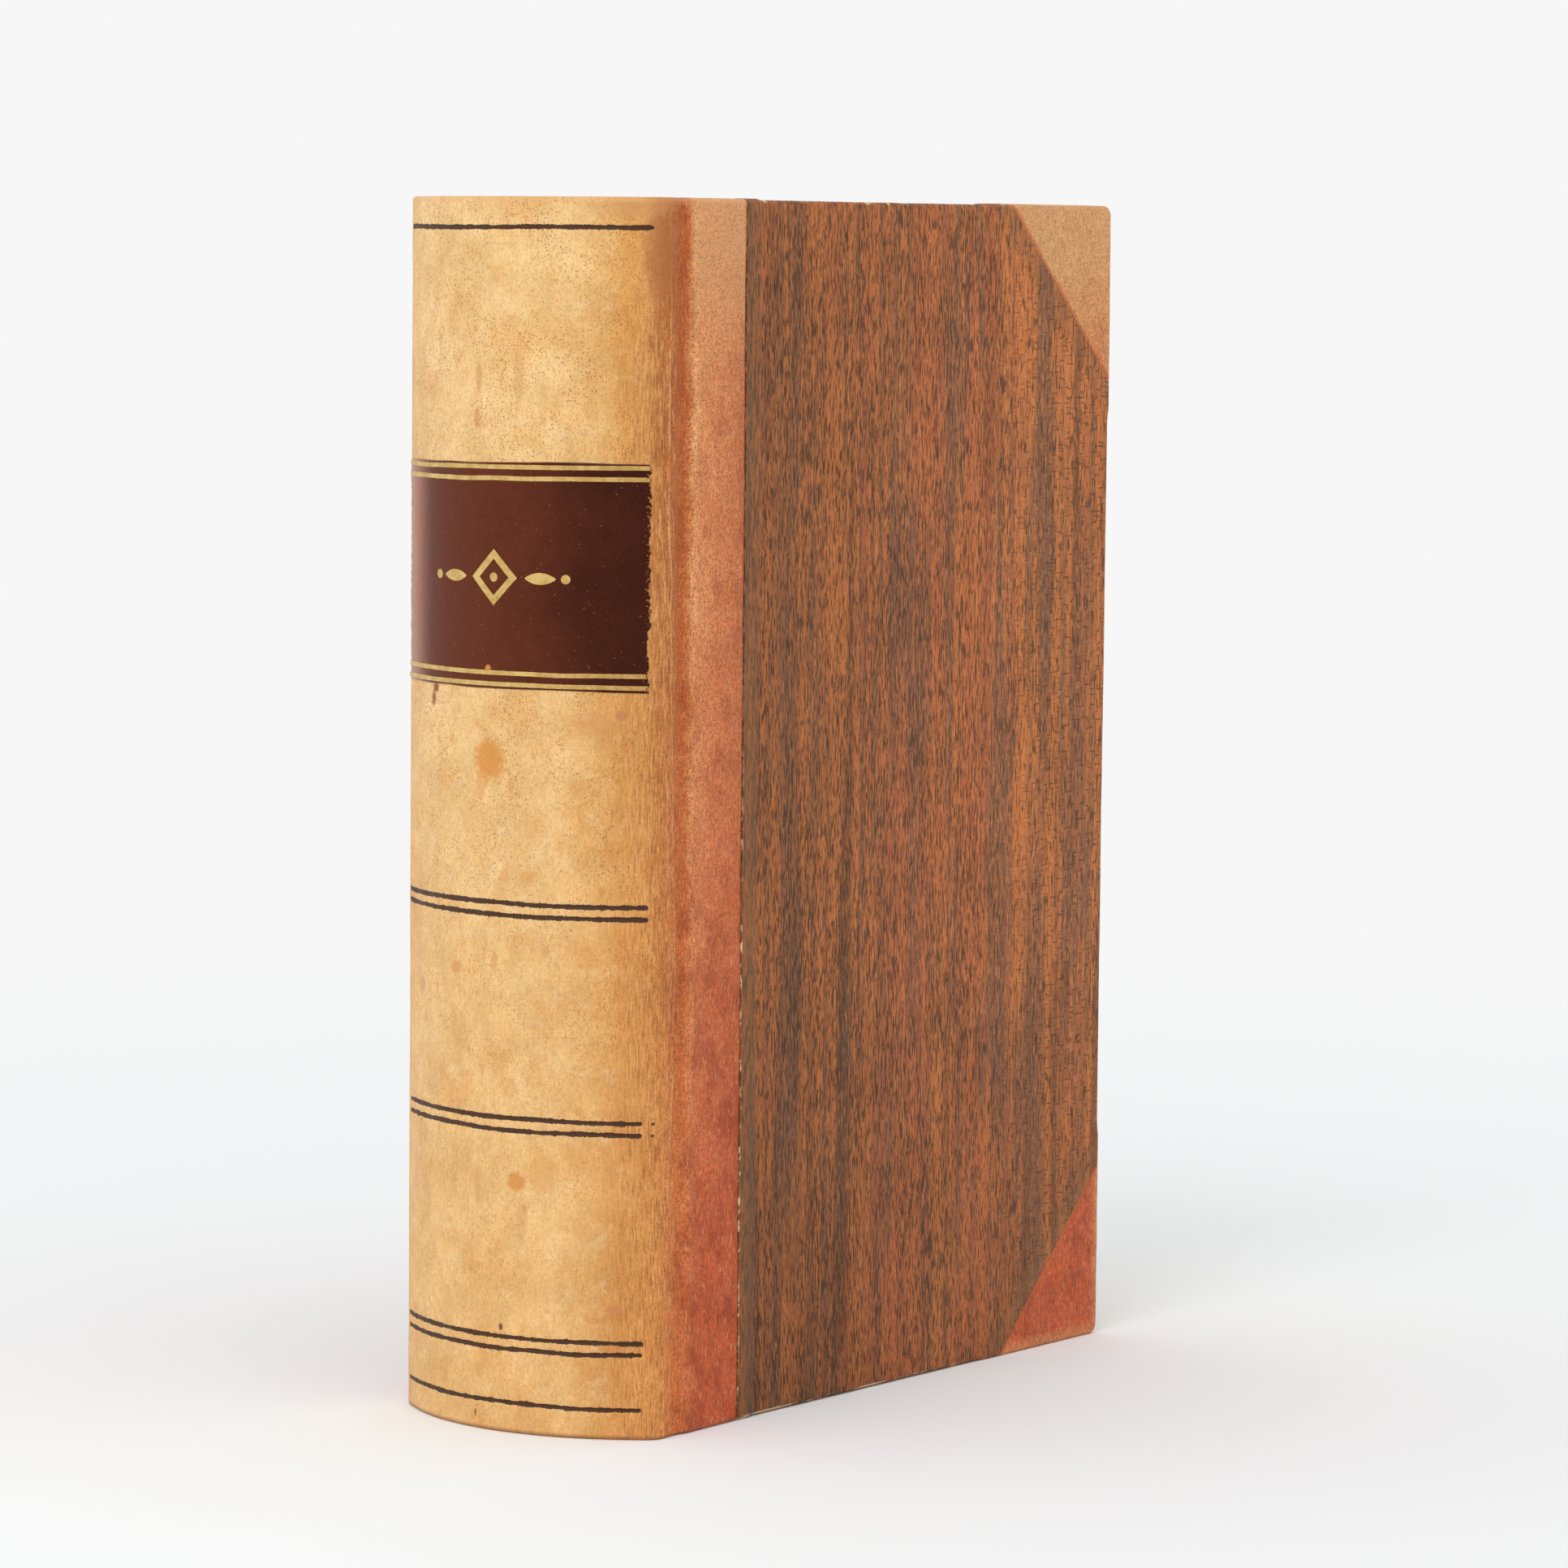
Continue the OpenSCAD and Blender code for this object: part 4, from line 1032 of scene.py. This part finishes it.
def ornament_grids():
    """Grids of a lozenge between two leaves and two dots, as in the solids, in place of a title."""
    dot = ORNAMENT_H / DOT_SHARE
    leaf_l = ORNAMENT_W / 5
    leaf_r = leaf_l * LEAF_CURVE
    leaf_c = math.sqrt(leaf_r ** 2 - (leaf_l / 2) ** 2)
    across, along = np.meshgrid(np.linspace(0, 1, 4), np.linspace(0, 1, 12), indexing="ij")
    grids = [lozenge_side(turn, across, along) for turn in range(4)]
    u, v = np.meshgrid(np.linspace(-1, 1, 7), np.linspace(-1, 1, 7), indexing="ij")
    disc = (dot * u * np.sqrt(1 - v * v / 2), dot * v * np.sqrt(1 - u * u / 2))
    u, v = np.meshgrid(np.linspace(-0.98, 0.98, 15), np.linspace(-1, 1, 6), indexing="ij")
    lens = (u * leaf_l / 2, v * (np.sqrt(leaf_r ** 2 - (u * leaf_l / 2) ** 2) - leaf_c))
    grids.append(disc)
    for hand in (-1, 1):
        grids.append((disc[0] + hand * (ORNAMENT_W / 2 - dot), disc[1]))
        grids.append((lens[0] + hand * (ORNAMENT_W / 2 - 3 * dot - leaf_l / 2), lens[1]))
    return grids


# Share of the label's width that the lines cross, and how deep the gold is sunk
GILT_REACH = 0.995
GILT_SUNK = 0.05


def make_gilding():
    """Four gilt lines and the ornament, thin gold on the face of the label."""
    grids = []
    top = LABEL_H - GILT_EDGE - GILT_W
    across = np.linspace(-1, 1, 110)[:, None]
    for number, height in enumerate((GILT_EDGE, GILT_EDGE + GILT_PITCH, top - GILT_PITCH, top)):
        rows = np.linspace(0, 1, 5)[None, :]
        z = LABEL_Z + height + GILT_W * rows + 0.07 * wander(across * LABEL_HALF, 7, 221 + number)
        z = z + 0.05 * wander(across * LABEL_HALF, 0.8, 225 + number) * (rows - 0.5)
        s = across * by_side(across > 0, label_end, z) * GILT_REACH
        z = z + label_rise(s, height)
        grids.append((s, z))
    for u, v in ornament_grids():
        grids.append((SPINE_R * np.arcsin(u / SPINE_R), LABEL_Z + LABEL_H / 2 + v))
    tops, bottoms, sheets, faces = [], [], [], []
    count = 0
    for s, z in grids:
        s, z = np.broadcast_arrays(s, z)
        tops.append(on_back(s, z, LABEL_T + GILT_T).reshape(-1, 3))
        bottoms.append(on_back(s, z, LABEL_T - GILT_SUNK).reshape(-1, 3))
        sheets.append(sheet_points(s, 0.0, z))
        faces += [[i + count for i in face] for face in grid_faces(*s.shape)]
        count += s.size
    mesh = thicken("gilt_lines_and_ornament", np.vstack(tops), np.vstack(bottoms), faces)
    store_sheet(mesh, np.vstack(sheets * 2))
    finish_piece(mesh, GOLD, ["label_gilding"], "root")


# The side paper, folded round the edges of the board from a flat sheet

QUARTER = EDGE_R * math.pi / 2
EDGE_FLAT = BOARD_T - 2 * EDGE_R
FOLDED = 2 * QUARTER + EDGE_FLAT


def fold(e):
    """Round an edge of the board: run and drop of the surface at a distance e past the start of its round,
    and the outward normal there, along the run and away from the face."""
    a1, a2 = np.clip(e, 0, QUARTER) / EDGE_R, np.clip(e - QUARTER - EDGE_FLAT, 0, QUARTER) / EDGE_R
    flat = np.clip(e - QUARTER, 0, EDGE_FLAT)
    inner = np.clip(e - FOLDED, 0, None)
    run = np.where(e < 0, e, EDGE_R * (np.sin(a1) + np.cos(a2) - 1) - inner)
    drop = EDGE_R * (1 - np.cos(a1)) + flat + EDGE_R * np.sin(a2)
    turn = a1 + a2
    return run, drop, np.sin(turn), np.cos(turn)


def fold_marks():
    """Distances past the start of an edge's round, out to the end of the turn-in."""
    return np.concatenate([np.linspace(0, QUARTER, 5)[1:], QUARTER + np.linspace(0, EDGE_FLAT, 5)[1:],
                           QUARTER + EDGE_FLAT + np.linspace(0, QUARTER, 5)[1:],
                           FOLDED + np.linspace(0, TURN_IN - EDGE_R, 7)[1:]])


# Height of the paper's underside above the board, and its rise where it laps over the leather
PAPER_LIFT = 0.03
PAPER_RISE = 0.24


def paper_height(u, v):
    """Height of the paper's underside above the board at a place on the flat sheet."""
    to_head = (DIAGONAL - u - v) / math.sqrt(2)
    to_tail = (DIAGONAL - u - (BOOK_H - v)) / math.sqrt(2)
    inside = np.minimum(np.minimum(to_head, to_tail), u - SIDE_LEATHER_W)
    return PAPER_LIFT + PAPER_RISE * (1 - step(inside, PAPER_LAP - 0.5, PAPER_LAP + 0.5))


def make_paper(name, side):
    """One side paper, laid flat as places (u, v), then folded round the edges of its board."""
    fold_x = BOARD_X1 - EDGE_R
    fold_z = BOARD_Z1 - EDGE_R
    marks = fold_marks()
    flat = spacing(((BOOK_H - fold_z, 0), (6, 0.5), (CORNER_LEG - 2, 1.3), (CORNER_LEG + 2, 0.6),
                    (BOOK_H - CORNER_LEG - 2, 1.3), (BOOK_H - CORNER_LEG + 2, 0.6), (BOOK_H - 6, 1.3),
                    (fold_z, 0.5)))
    v = np.concatenate([(BOOK_H - fold_z) - marks[::-1], flat, fold_z + marks])
    to_corner = np.maximum(v, BOOK_H - v)
    u_end = np.clip(DIAGONAL - to_corner, SIDE_W - CORNER_LEG, fold_x)
    share = spacing(((0, 0), (7, 0.5), (fold_x - SIDE_LEATHER_W - 7, 1.25), (fold_x - SIDE_LEATHER_W, 0.5)))
    share = share[None, :] / share[-1]
    cut = SIDE_LEATHER_W + 0.16 * wander(v, 13, 301 + side) + 0.07 * wander(v, 1.9, 303 + side)
    trim = 0.10 * wander(v, 3.1, 305 + side) * (u_end < fold_x)
    u = cut[:, None] + (u_end + trim - cut)[:, None] * share
    rows = v[:, None] + 0 * u
    flap_rows = u_end >= fold_x
    flap_u = fold_x + marks[None, :] + 0 * v[flap_rows][:, None]
    flap_v = v[flap_rows][:, None] + 0 * flap_u
    main, flap = u.shape, flap_u.shape
    number = np.arange(main[0] * main[1]).reshape(main)
    extra = main[0] * main[1] + np.arange(flap[0] * flap[1]).reshape(flap)
    joined = np.concatenate([number[flap_rows][:, -1:], extra], axis=1)
    faces = []
    for indices in (number, joined):
        quads = np.stack([indices[:-1, :-1], indices[:-1, 1:], indices[1:, 1:], indices[1:, :-1]], axis=-1)
        faces += quads.reshape(-1, 4).tolist()
    all_u = np.concatenate([u.ravel(), flap_u.ravel()])
    all_v = np.concatenate([rows.ravel(), flap_v.ravel()])

    def place(height):
        run_x, drop_x, nx, out_x = fold(all_u - fold_x)
        head = all_v > BOOK_H / 2
        e = np.where(head, all_v - fold_z, (BOOK_H - fold_z) - all_v)
        run_z, drop_z, nz, out_z = fold(e)
        x = np.where(all_u > fold_x, fold_x + run_x, all_u) + nx * height
        z = np.where(head, fold_z + run_z + nz * height, BOOK_H - fold_z - run_z - nz * height)
        out = np.where(all_u > fold_x, out_x, out_z)
        wave = cover_wave(x, z, side) * np.clip(out, 0, 1)
        return row_frame(x, BOARD_OUT_Q - drop_x - drop_z + out * height + wave, z, side)

    under = paper_height(all_u, all_v)
    creased = 0.02 * wander(all_u, 2.7, 311 + side, all_v, 6.1)
    mesh = thicken(f"{name}_mahogany_paper", place(under + PAPER_T + creased), place(under), faces)
    finish_piece(mesh, PAPERS[name], [f"{name}_side_paper"], f"{name}_cover")


# Leather corners

# How far a corner runs on under the paper, along X and z, and the heights of its face above the board
CORNER_UNDER = 2.6
CORNER_LOW = 0.20
CORNER_RISE = 0.27
CORNER_GAP = 0.02
# The pitch of its points on the faces, and in the zone beside the rounded edges
FACE_PITCH = 0.9
ROUND_ZONE = 2.7
ROUND_PITCH = 0.27


def corner_lattice():
    """Points and faces of a box's outer, edge and inner faces at one corner, cut along the diagonal.
    Points are X, depth below the outer face, and z."""
    band_x, band_z = (end - TURN_IN + PARED_T for end in (BOARD_X1, BOARD_Z1))
    xs, zs = (spacing(((low, 0), (band, FACE_PITCH), (end - ROUND_ZONE, FACE_PITCH), (end, ROUND_PITCH)))
              for low, band, end in ((SIDE_W - CORNER_LEG - 6, band_x, BOARD_X1),
                                     (BOOK_H - CORNER_LEG - 6, band_z, BOARD_Z1)))
    ds = spacing(((0, 0), (BOARD_T, 0.26)))
    work = bmesh.new()
    known = {}

    def point(place):
        key = tuple(round(value, 4) for value in place)
        if key not in known:
            known[key] = work.verts.new(place)
        return known[key]

    def face(*places):
        work.faces.new([point(place) for place in places])

    x_end, z_end = xs[-1], zs[-1]
    for x0, x1 in zip(xs, xs[1:]):
        for z0, z1 in zip(zs, zs[1:]):
            face((x0, 0, z0), (x1, 0, z0), (x1, 0, z1), (x0, 0, z1))
            if x0 > band_x - 0.01 or z0 > band_z - 0.01:
                face((x0, BOARD_T, z1), (x1, BOARD_T, z1), (x1, BOARD_T, z0), (x0, BOARD_T, z0))
    for d0, d1 in zip(ds, ds[1:]):
        for z0, z1 in zip(zs, zs[1:]):
            face((x_end, d0, z0), (x_end, d1, z0), (x_end, d1, z1), (x_end, d0, z1))
        for x0, x1 in zip(xs, xs[1:]):
            face((x0, d0, z_end), (x1, d0, z_end), (x1, d1, z_end), (x0, d1, z_end))
    edge = Vector((SIDE_W, 0, BOOK_H - CORNER_LEG)) - Vector((1, 0, 1)) * CORNER_UNDER
    bmesh.ops.bisect_plane(work, geom=work.verts[:] + work.edges[:] + work.faces[:], plane_co=edge,
                           plane_no=(1, 0, 1), clear_inner=True)
    work.verts.ensure_lookup_table()
    return work


def round_corner(x, d, z):
    """Moves a point of the box on to the board's round corner and round edges."""
    r = BOARD_CORNER_R
    cx, cz = BOARD_X1 - r, BOARD_Z1 - r
    ax, az = x - cx, z - cz
    if ax > 0 and az > 0:
        reach = max(ax, az)
        size = math.hypot(ax, az)
        way = (ax / size, az / size)
        inset = r - reach
        x, z = cx + way[0] * reach, cz + way[1] * reach
    else:
        inset = min(BOARD_X1 - x, BOARD_Z1 - z)
        way = (1, 0) if BOARD_X1 - x < BOARD_Z1 - z else (0, 1)
    from_face = min(d, BOARD_T - d)
    if inset < EDGE_R and from_face < EDGE_R:
        a, b = EDGE_R - inset, EDGE_R - from_face
        size = math.hypot(a, b) / EDGE_R
        moved = (EDGE_R - a / size) - inset
        x, z = x - way[0] * moved, z - way[1] * moved
        from_face = EDGE_R - b / size
        d = from_face if d < BOARD_T / 2 else BOARD_T - from_face
    return x, d, z


def make_corner(name, side, head):
    """One leather corner, wrapped round three faces of its board."""
    work = corner_lattice()
    lattice = [tuple(vert.co) for vert in work.verts]
    for vert in work.verts:
        x, d, z = round_corner(*vert.co)
        vert.co = (x, BOARD_OUT_Q - d, z)
    bmesh.ops.recalc_face_normals(work, faces=work.faces)
    outer = [face for face in work.faces if face.calc_center_median().y > BOARD_OUT_Q - 0.05]
    if sum(face.normal.y * face.calc_area() for face in outer) < 0:
        bmesh.ops.reverse_faces(work, faces=work.faces)
    work.normal_update()
    base = np.array([vert.co[:] for vert in work.verts])
    normal = np.array([vert.normal[:] for vert in work.verts])
    faces = [[vert.index for vert in face.verts] for face in work.faces]
    work.free()
    lattice = np.array(lattice)
    inside = (lattice[:, 0] + lattice[:, 2] - DIAGONAL) / math.sqrt(2)
    height = CORNER_LOW + CORNER_RISE * step(inside, -0.3, 0.5)
    seed = 401 + side + 10 * head
    height = height + 0.03 * wander(lattice[:, 0], 3.3, seed, lattice[:, 2], 4.1) * step(inside, 0, 2)
    top = base + normal * height[:, None]
    bottom = base + normal * CORNER_GAP

    def place(points):
        z = points[:, 2] if head else BOOK_H - points[:, 2]
        wave = cover_wave(points[:, 0], z, side) * np.clip(normal[:, 1], 0, 1)
        return row_frame(points[:, 0], points[:, 1] + wave, z, side)

    end = "head" if head else "tail"
    mesh = thicken(f"{name}_{end}_corner_calf", place(top), place(bottom), faces)
    finish_piece(mesh, CALF_CORNER, [f"{name}_{end}_corner"], f"{name}_cover", smooth_angle=50)


# The pages, their endbands, and the paper of the inner joints

SHOULDER_TOP_Q = GROOVE_Q - LEATHER_T - FLYLEAF_T - COVER_CLEARANCE / 2
PAGES_X1 = SIDE_W - SQUARE_F
FORE_R = (PAGES_Q ** 2 + FORE_HOLLOW ** 2) / (2 * FORE_HOLLOW)
LEAF_GROUPS = 140
# How far a group of leaves lies out of line at its ends and its fore edge, and the share of it that is gap
END_SHIFT = 0.11
FORE_SHIFT = 0.16
LEAF_GAP = 0.12
# Stations along a leaf, from back to fore edge, and the X between which the leaves flare to the shoulders
STATIONS = 14
FLARE_X = (4.2, 8.9)


def make_pages():
    """Pages in groups of a few leaves, each group a hair out of line with the next."""
    rng = np.random.default_rng(501)
    loops = []
    share = np.linspace(0, 1, STATIONS)
    edges = np.linspace(-1, 1, LEAF_GROUPS + 1)
    z0, z1 = SQUARE_H, BOOK_H - SQUARE_H
    for w0, w1 in zip(edges, edges[1:]):
        head, tail = rng.uniform(-END_SHIFT, 0.0), rng.uniform(0, END_SHIFT)
        fore = rng.uniform(-FORE_SHIFT, 0.0)
        gap = (w1 - w0) * LEAF_GAP
        for w in (w0 + gap * (w0 > -1), w1 - gap * (w1 < 1)):
            q_fore = w * PAGES_Q
            q_back = w * (PAGES_Q + (SHOULDER_TOP_Q - PAGES_Q) * abs(w) ** 3)
            x_back = SPINE_CX - math.sqrt(PAGES_R ** 2 - q_back ** 2)
            x_fore = PAGES_X1 + FORE_R - FORE_HOLLOW - math.sqrt(FORE_R ** 2 - q_fore ** 2) + fore
            x_along = x_back + (x_fore - x_back) * share ** 1.6
            flare = step(-x_along, -FLARE_X[1], -FLARE_X[0])
            q_along = q_fore + (q_back - q_fore) * flare
            top = [(x, q, z1 + head) for x, q in zip(x_along, q_along)]
            low = [(x, q, z0 + tail) for x, q in zip(x_along[::-1], q_along[::-1])]
            middle = [(x_fore, q_fore, z) for z in np.linspace(z1 + head, z0 + tail, 9)[1:-1]]
            spine = [(x_back, q_back, z) for z in np.linspace(z0 + tail, z1 + head, 9)[1:-1]]
            loops.append(top + middle + low + spine)
    loops = np.array(loops)
    count, size = loops.shape[:2]
    opposite = 2 * STATIONS + 6
    strips = [[k, k + 1, opposite - k - 1, opposite - k] for k in range(1, STATIONS - 2)]
    strips.append(list(range(STATIONS - 2, opposite - STATIONS + 3)))
    strips.append([0, 1] + list(range(opposite - 1, size)))
    faces = strips + [[(count - 1) * size + i for i in reversed(strip)] for strip in strips]
    faces += ring_faces(count, size, turned=True)
    mesh = bpy.data.meshes.new("pages")
    points = row_frame(loops[..., 0], loops[..., 1], loops[..., 2]).reshape(-1, 3)
    mesh.from_pydata(points.tolist(), [], faces)
    finish_piece(mesh, PAGES, ["text_block"], "root", smooth_angle=20)


BAND_POINTS = 260
BAND_SIDES = 14
SILK_RIDGE = 0.1
SILK_PITCH = 0.72


def make_endband(name, z):
    """A core wound with silk, bent to the back of the pages."""
    half = BAND_A * BAND_R
    s = np.linspace(-half, half, BAND_POINTS)[:, None]
    turn = np.linspace(0, 2 * math.pi, BAND_SIDES + 1)[None, :-1]
    ends = np.sqrt(np.clip(1 - (np.abs(s) / half) ** 40, 0.02, 1))
    radius = (BAND_HALF - SILK_RIDGE + SILK_RIDGE * np.abs(np.sin(math.pi * s / SILK_PITCH))) * ends
    r = BAND_R + radius * np.cos(turn)
    points = row_frame(SPINE_CX - r * np.cos(s / BAND_R), r * np.sin(s / BAND_R), z + radius * np.sin(turn))
    first, last = list(range(BAND_SIDES)), (BAND_POINTS - 1) * BAND_SIDES
    faces = [first[::-1], [last + i for i in first]] + ring_faces(BAND_POINTS, BAND_SIDES)
    mesh = bpy.data.meshes.new(f"{name}_silk_band")
    mesh.from_pydata(points.reshape(-1, 3).tolist(), [], faces)
    store_sheet(mesh, sheet_points(s + 0.12 * turn, radius * turn, 0.0))
    finish_piece(mesh, SILK, [f"{name}_endband"], "root")


# Where the endpaper's fold lies, in X, how much shorter it is than the pages, and its thickness
FOLD_X = 9.5
FOLD_W = 2.1
FOLD_SHORT = 1.2
FOLD_T = 0.10


def make_inner_joint(name, side):
    """The fold of the endpaper, which joins the flyleaf to the pastedown across the inner joint."""
    share = np.linspace(0, 1, 21)[:, None]
    z = np.linspace(SQUARE_H + FOLD_SHORT, BOOK_H - SQUARE_H - FOLD_SHORT, 60)[None, :]
    x = FOLD_X + FOLD_W * share
    q = PAGES_Q + FLYLEAF_T + 0.02 + (INNER_Q - PAGES_Q - FLYLEAF_T - 0.05) * step(share, 0.15, 0.85)
    piece = grid_piece(f"{name}_endpaper_fold", row_frame(x, q + FOLD_T, z, side), row_frame(x, q, z, side),
                       sheet_points(x, q, z), FOLD_PAPER)
    row_frame(9.7, INNER_Q, 0, side)
    row_frame(11.3, INNER_Q, 0, side)
    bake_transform(piece)


make_leather()
make_label()
make_gilding()
for cover, hand in SIDES.items():
    make_paper(cover, hand)
    for at_head in (True, False):
        make_corner(cover, hand, at_head)
    make_inner_joint(cover, hand)
make_pages()
make_endband("head", BOOK_H - SQUARE_H + BAND_HALF)
make_endband("tail", SQUARE_H - BAND_HALF)

# Finishes of the solids that keep their own shape
CARRIED = ((ENDPAPER, ("front_flyleaf", "back_flyleaf", "front_pastedown", "back_pastedown")),
           (MILLBOARD, ("front_board", "back_board")),
           (HEMP, ("sewing_cords", "front_cord_slips", "back_cord_slips")),
           (LINING, ("spine_lining", "spine_hollow")))
for material, node_names in CARRIED:
    for node_name in node_names:
        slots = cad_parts[node_name].data.materials
        slots.clear()
        slots.append(material)


# Floor, light and camera

BACKGROUND = (247, 247, 247)
WORLD_LIGHT = 0.80
FLOOR_WHITE = (0.962, 0.982, 0.992, 1)
FLOOR_R = 6.0
FLOOR_SIDES = 64
FLOOR_FADE = (0.15, 0.75)
LAMP_PLACE = (-1.45, -0.35, 1.65)
LAMP_AIM = (0, 0, 0.11)
LAMP_SIZE = 1.0
LAMP_POWER = 11.4
CAMERA_TARGET = (-0.0389, -0.0365, 0.1159)
CAMERA_DISTANCE = 1.0985
CAMERA_YAW = 36.32
CAMERA_PITCH = 4.95
CAMERA_ROLL = 0.53
CAMERA_LENS = 141.1
CAMERA_SENSOR = 36
CAMERA_CLIP = (0.01, 50)


def make_floor():
    """Pale round floor that fades into the background far from the book."""
    mesh = bpy.data.meshes.new("floor")
    turns = np.linspace(0, 2 * math.pi, FLOOR_SIDES + 1)[:-1]
    points = [(FLOOR_R * math.cos(turn), FLOOR_R * math.sin(turn), 0) for turn in turns]
    mesh.from_pydata(points, [], [list(range(FLOOR_SIDES))])
    material = bpy.data.materials.new("floor_paper")
    make = Tree(material)
    make.tree.nodes.clear()
    place = make.node("ShaderNodeTexCoord").outputs["Object"]
    far = make.node("ShaderNodeVectorMath", [(0, place)], operation="LENGTH").outputs["Value"]
    path = make.node("ShaderNodeLightPath").outputs
    seen = make.math("MULTIPLY", path["Is Camera Ray"], Value(make, far).smooth(*FLOOR_FADE))
    make.close("ShaderNodeOutputMaterial", seen, make.node("ShaderNodeBsdfDiffuse", [("Color", FLOOR_WHITE)]),
               make.node("ShaderNodeEmission", [("Color", srgb(*BACKGROUND))]))
    mesh.materials.append(material)
    floor = add(mesh)


def make_world():
    """Even white light, and the plain background that the camera and reflections see."""
    world = bpy.data.worlds.new("studio")
    bpy.context.scene.world = world
    make = Tree(world)
    make.tree.nodes.clear()
    path = make.node("ShaderNodeLightPath").outputs
    seen = make.math("MAXIMUM", path["Is Camera Ray"], path["Is Glossy Ray"])
    seen = make.math("MAXIMUM", seen, path["Is Transmission Ray"])
    light = make.node("ShaderNodeBackground", [("Color", (1, 1, 1, 1)), ("Strength", WORLD_LIGHT)])
    backdrop = make.node("ShaderNodeBackground", [("Color", srgb(*BACKGROUND))])
    make.close("ShaderNodeOutputWorld", seen, light, backdrop)


def make_lamp():
    """Square soft lamp that faces a point."""
    data = bpy.data.lights.new("key", "AREA")
    data.shape = "SQUARE"
    data.size = LAMP_SIZE
    data.energy = LAMP_POWER
    lamp = add(data)
    lamp.location = LAMP_PLACE
    lamp.rotation_euler = (Vector(LAMP_AIM) - Vector(LAMP_PLACE)).to_track_quat("-Z", "Y").to_euler()


def make_camera():
    """Camera at the photograph's angle: it looks along a yaw and a pitch, with a slight roll."""
    yaw, pitch, roll = (math.radians(value) for value in (CAMERA_YAW, CAMERA_PITCH, CAMERA_ROLL))
    look = Vector((math.cos(pitch) * math.cos(yaw), math.cos(pitch) * math.sin(yaw), -math.sin(pitch)))
    level = Vector((math.sin(yaw), -math.cos(yaw), 0))
    lift = level.cross(look)
    right = level * math.cos(roll) + lift * math.sin(roll)
    up = lift * math.cos(roll) - level * math.sin(roll)
    data = bpy.data.cameras.new("camera")
    data.lens = CAMERA_LENS
    data.sensor_width = CAMERA_SENSOR
    data.clip_start, data.clip_end = CAMERA_CLIP
    camera = add(data)
    place = Vector(CAMERA_TARGET) - look * CAMERA_DISTANCE
    camera.matrix_world = Matrix.Translation(place) @ Matrix((right, up, -look)).transposed().to_4x4()
    bpy.context.scene.camera = camera


make_floor()
make_world()
make_lamp()
make_camera()
bpy.context.scene.view_settings.view_transform = "Standard"
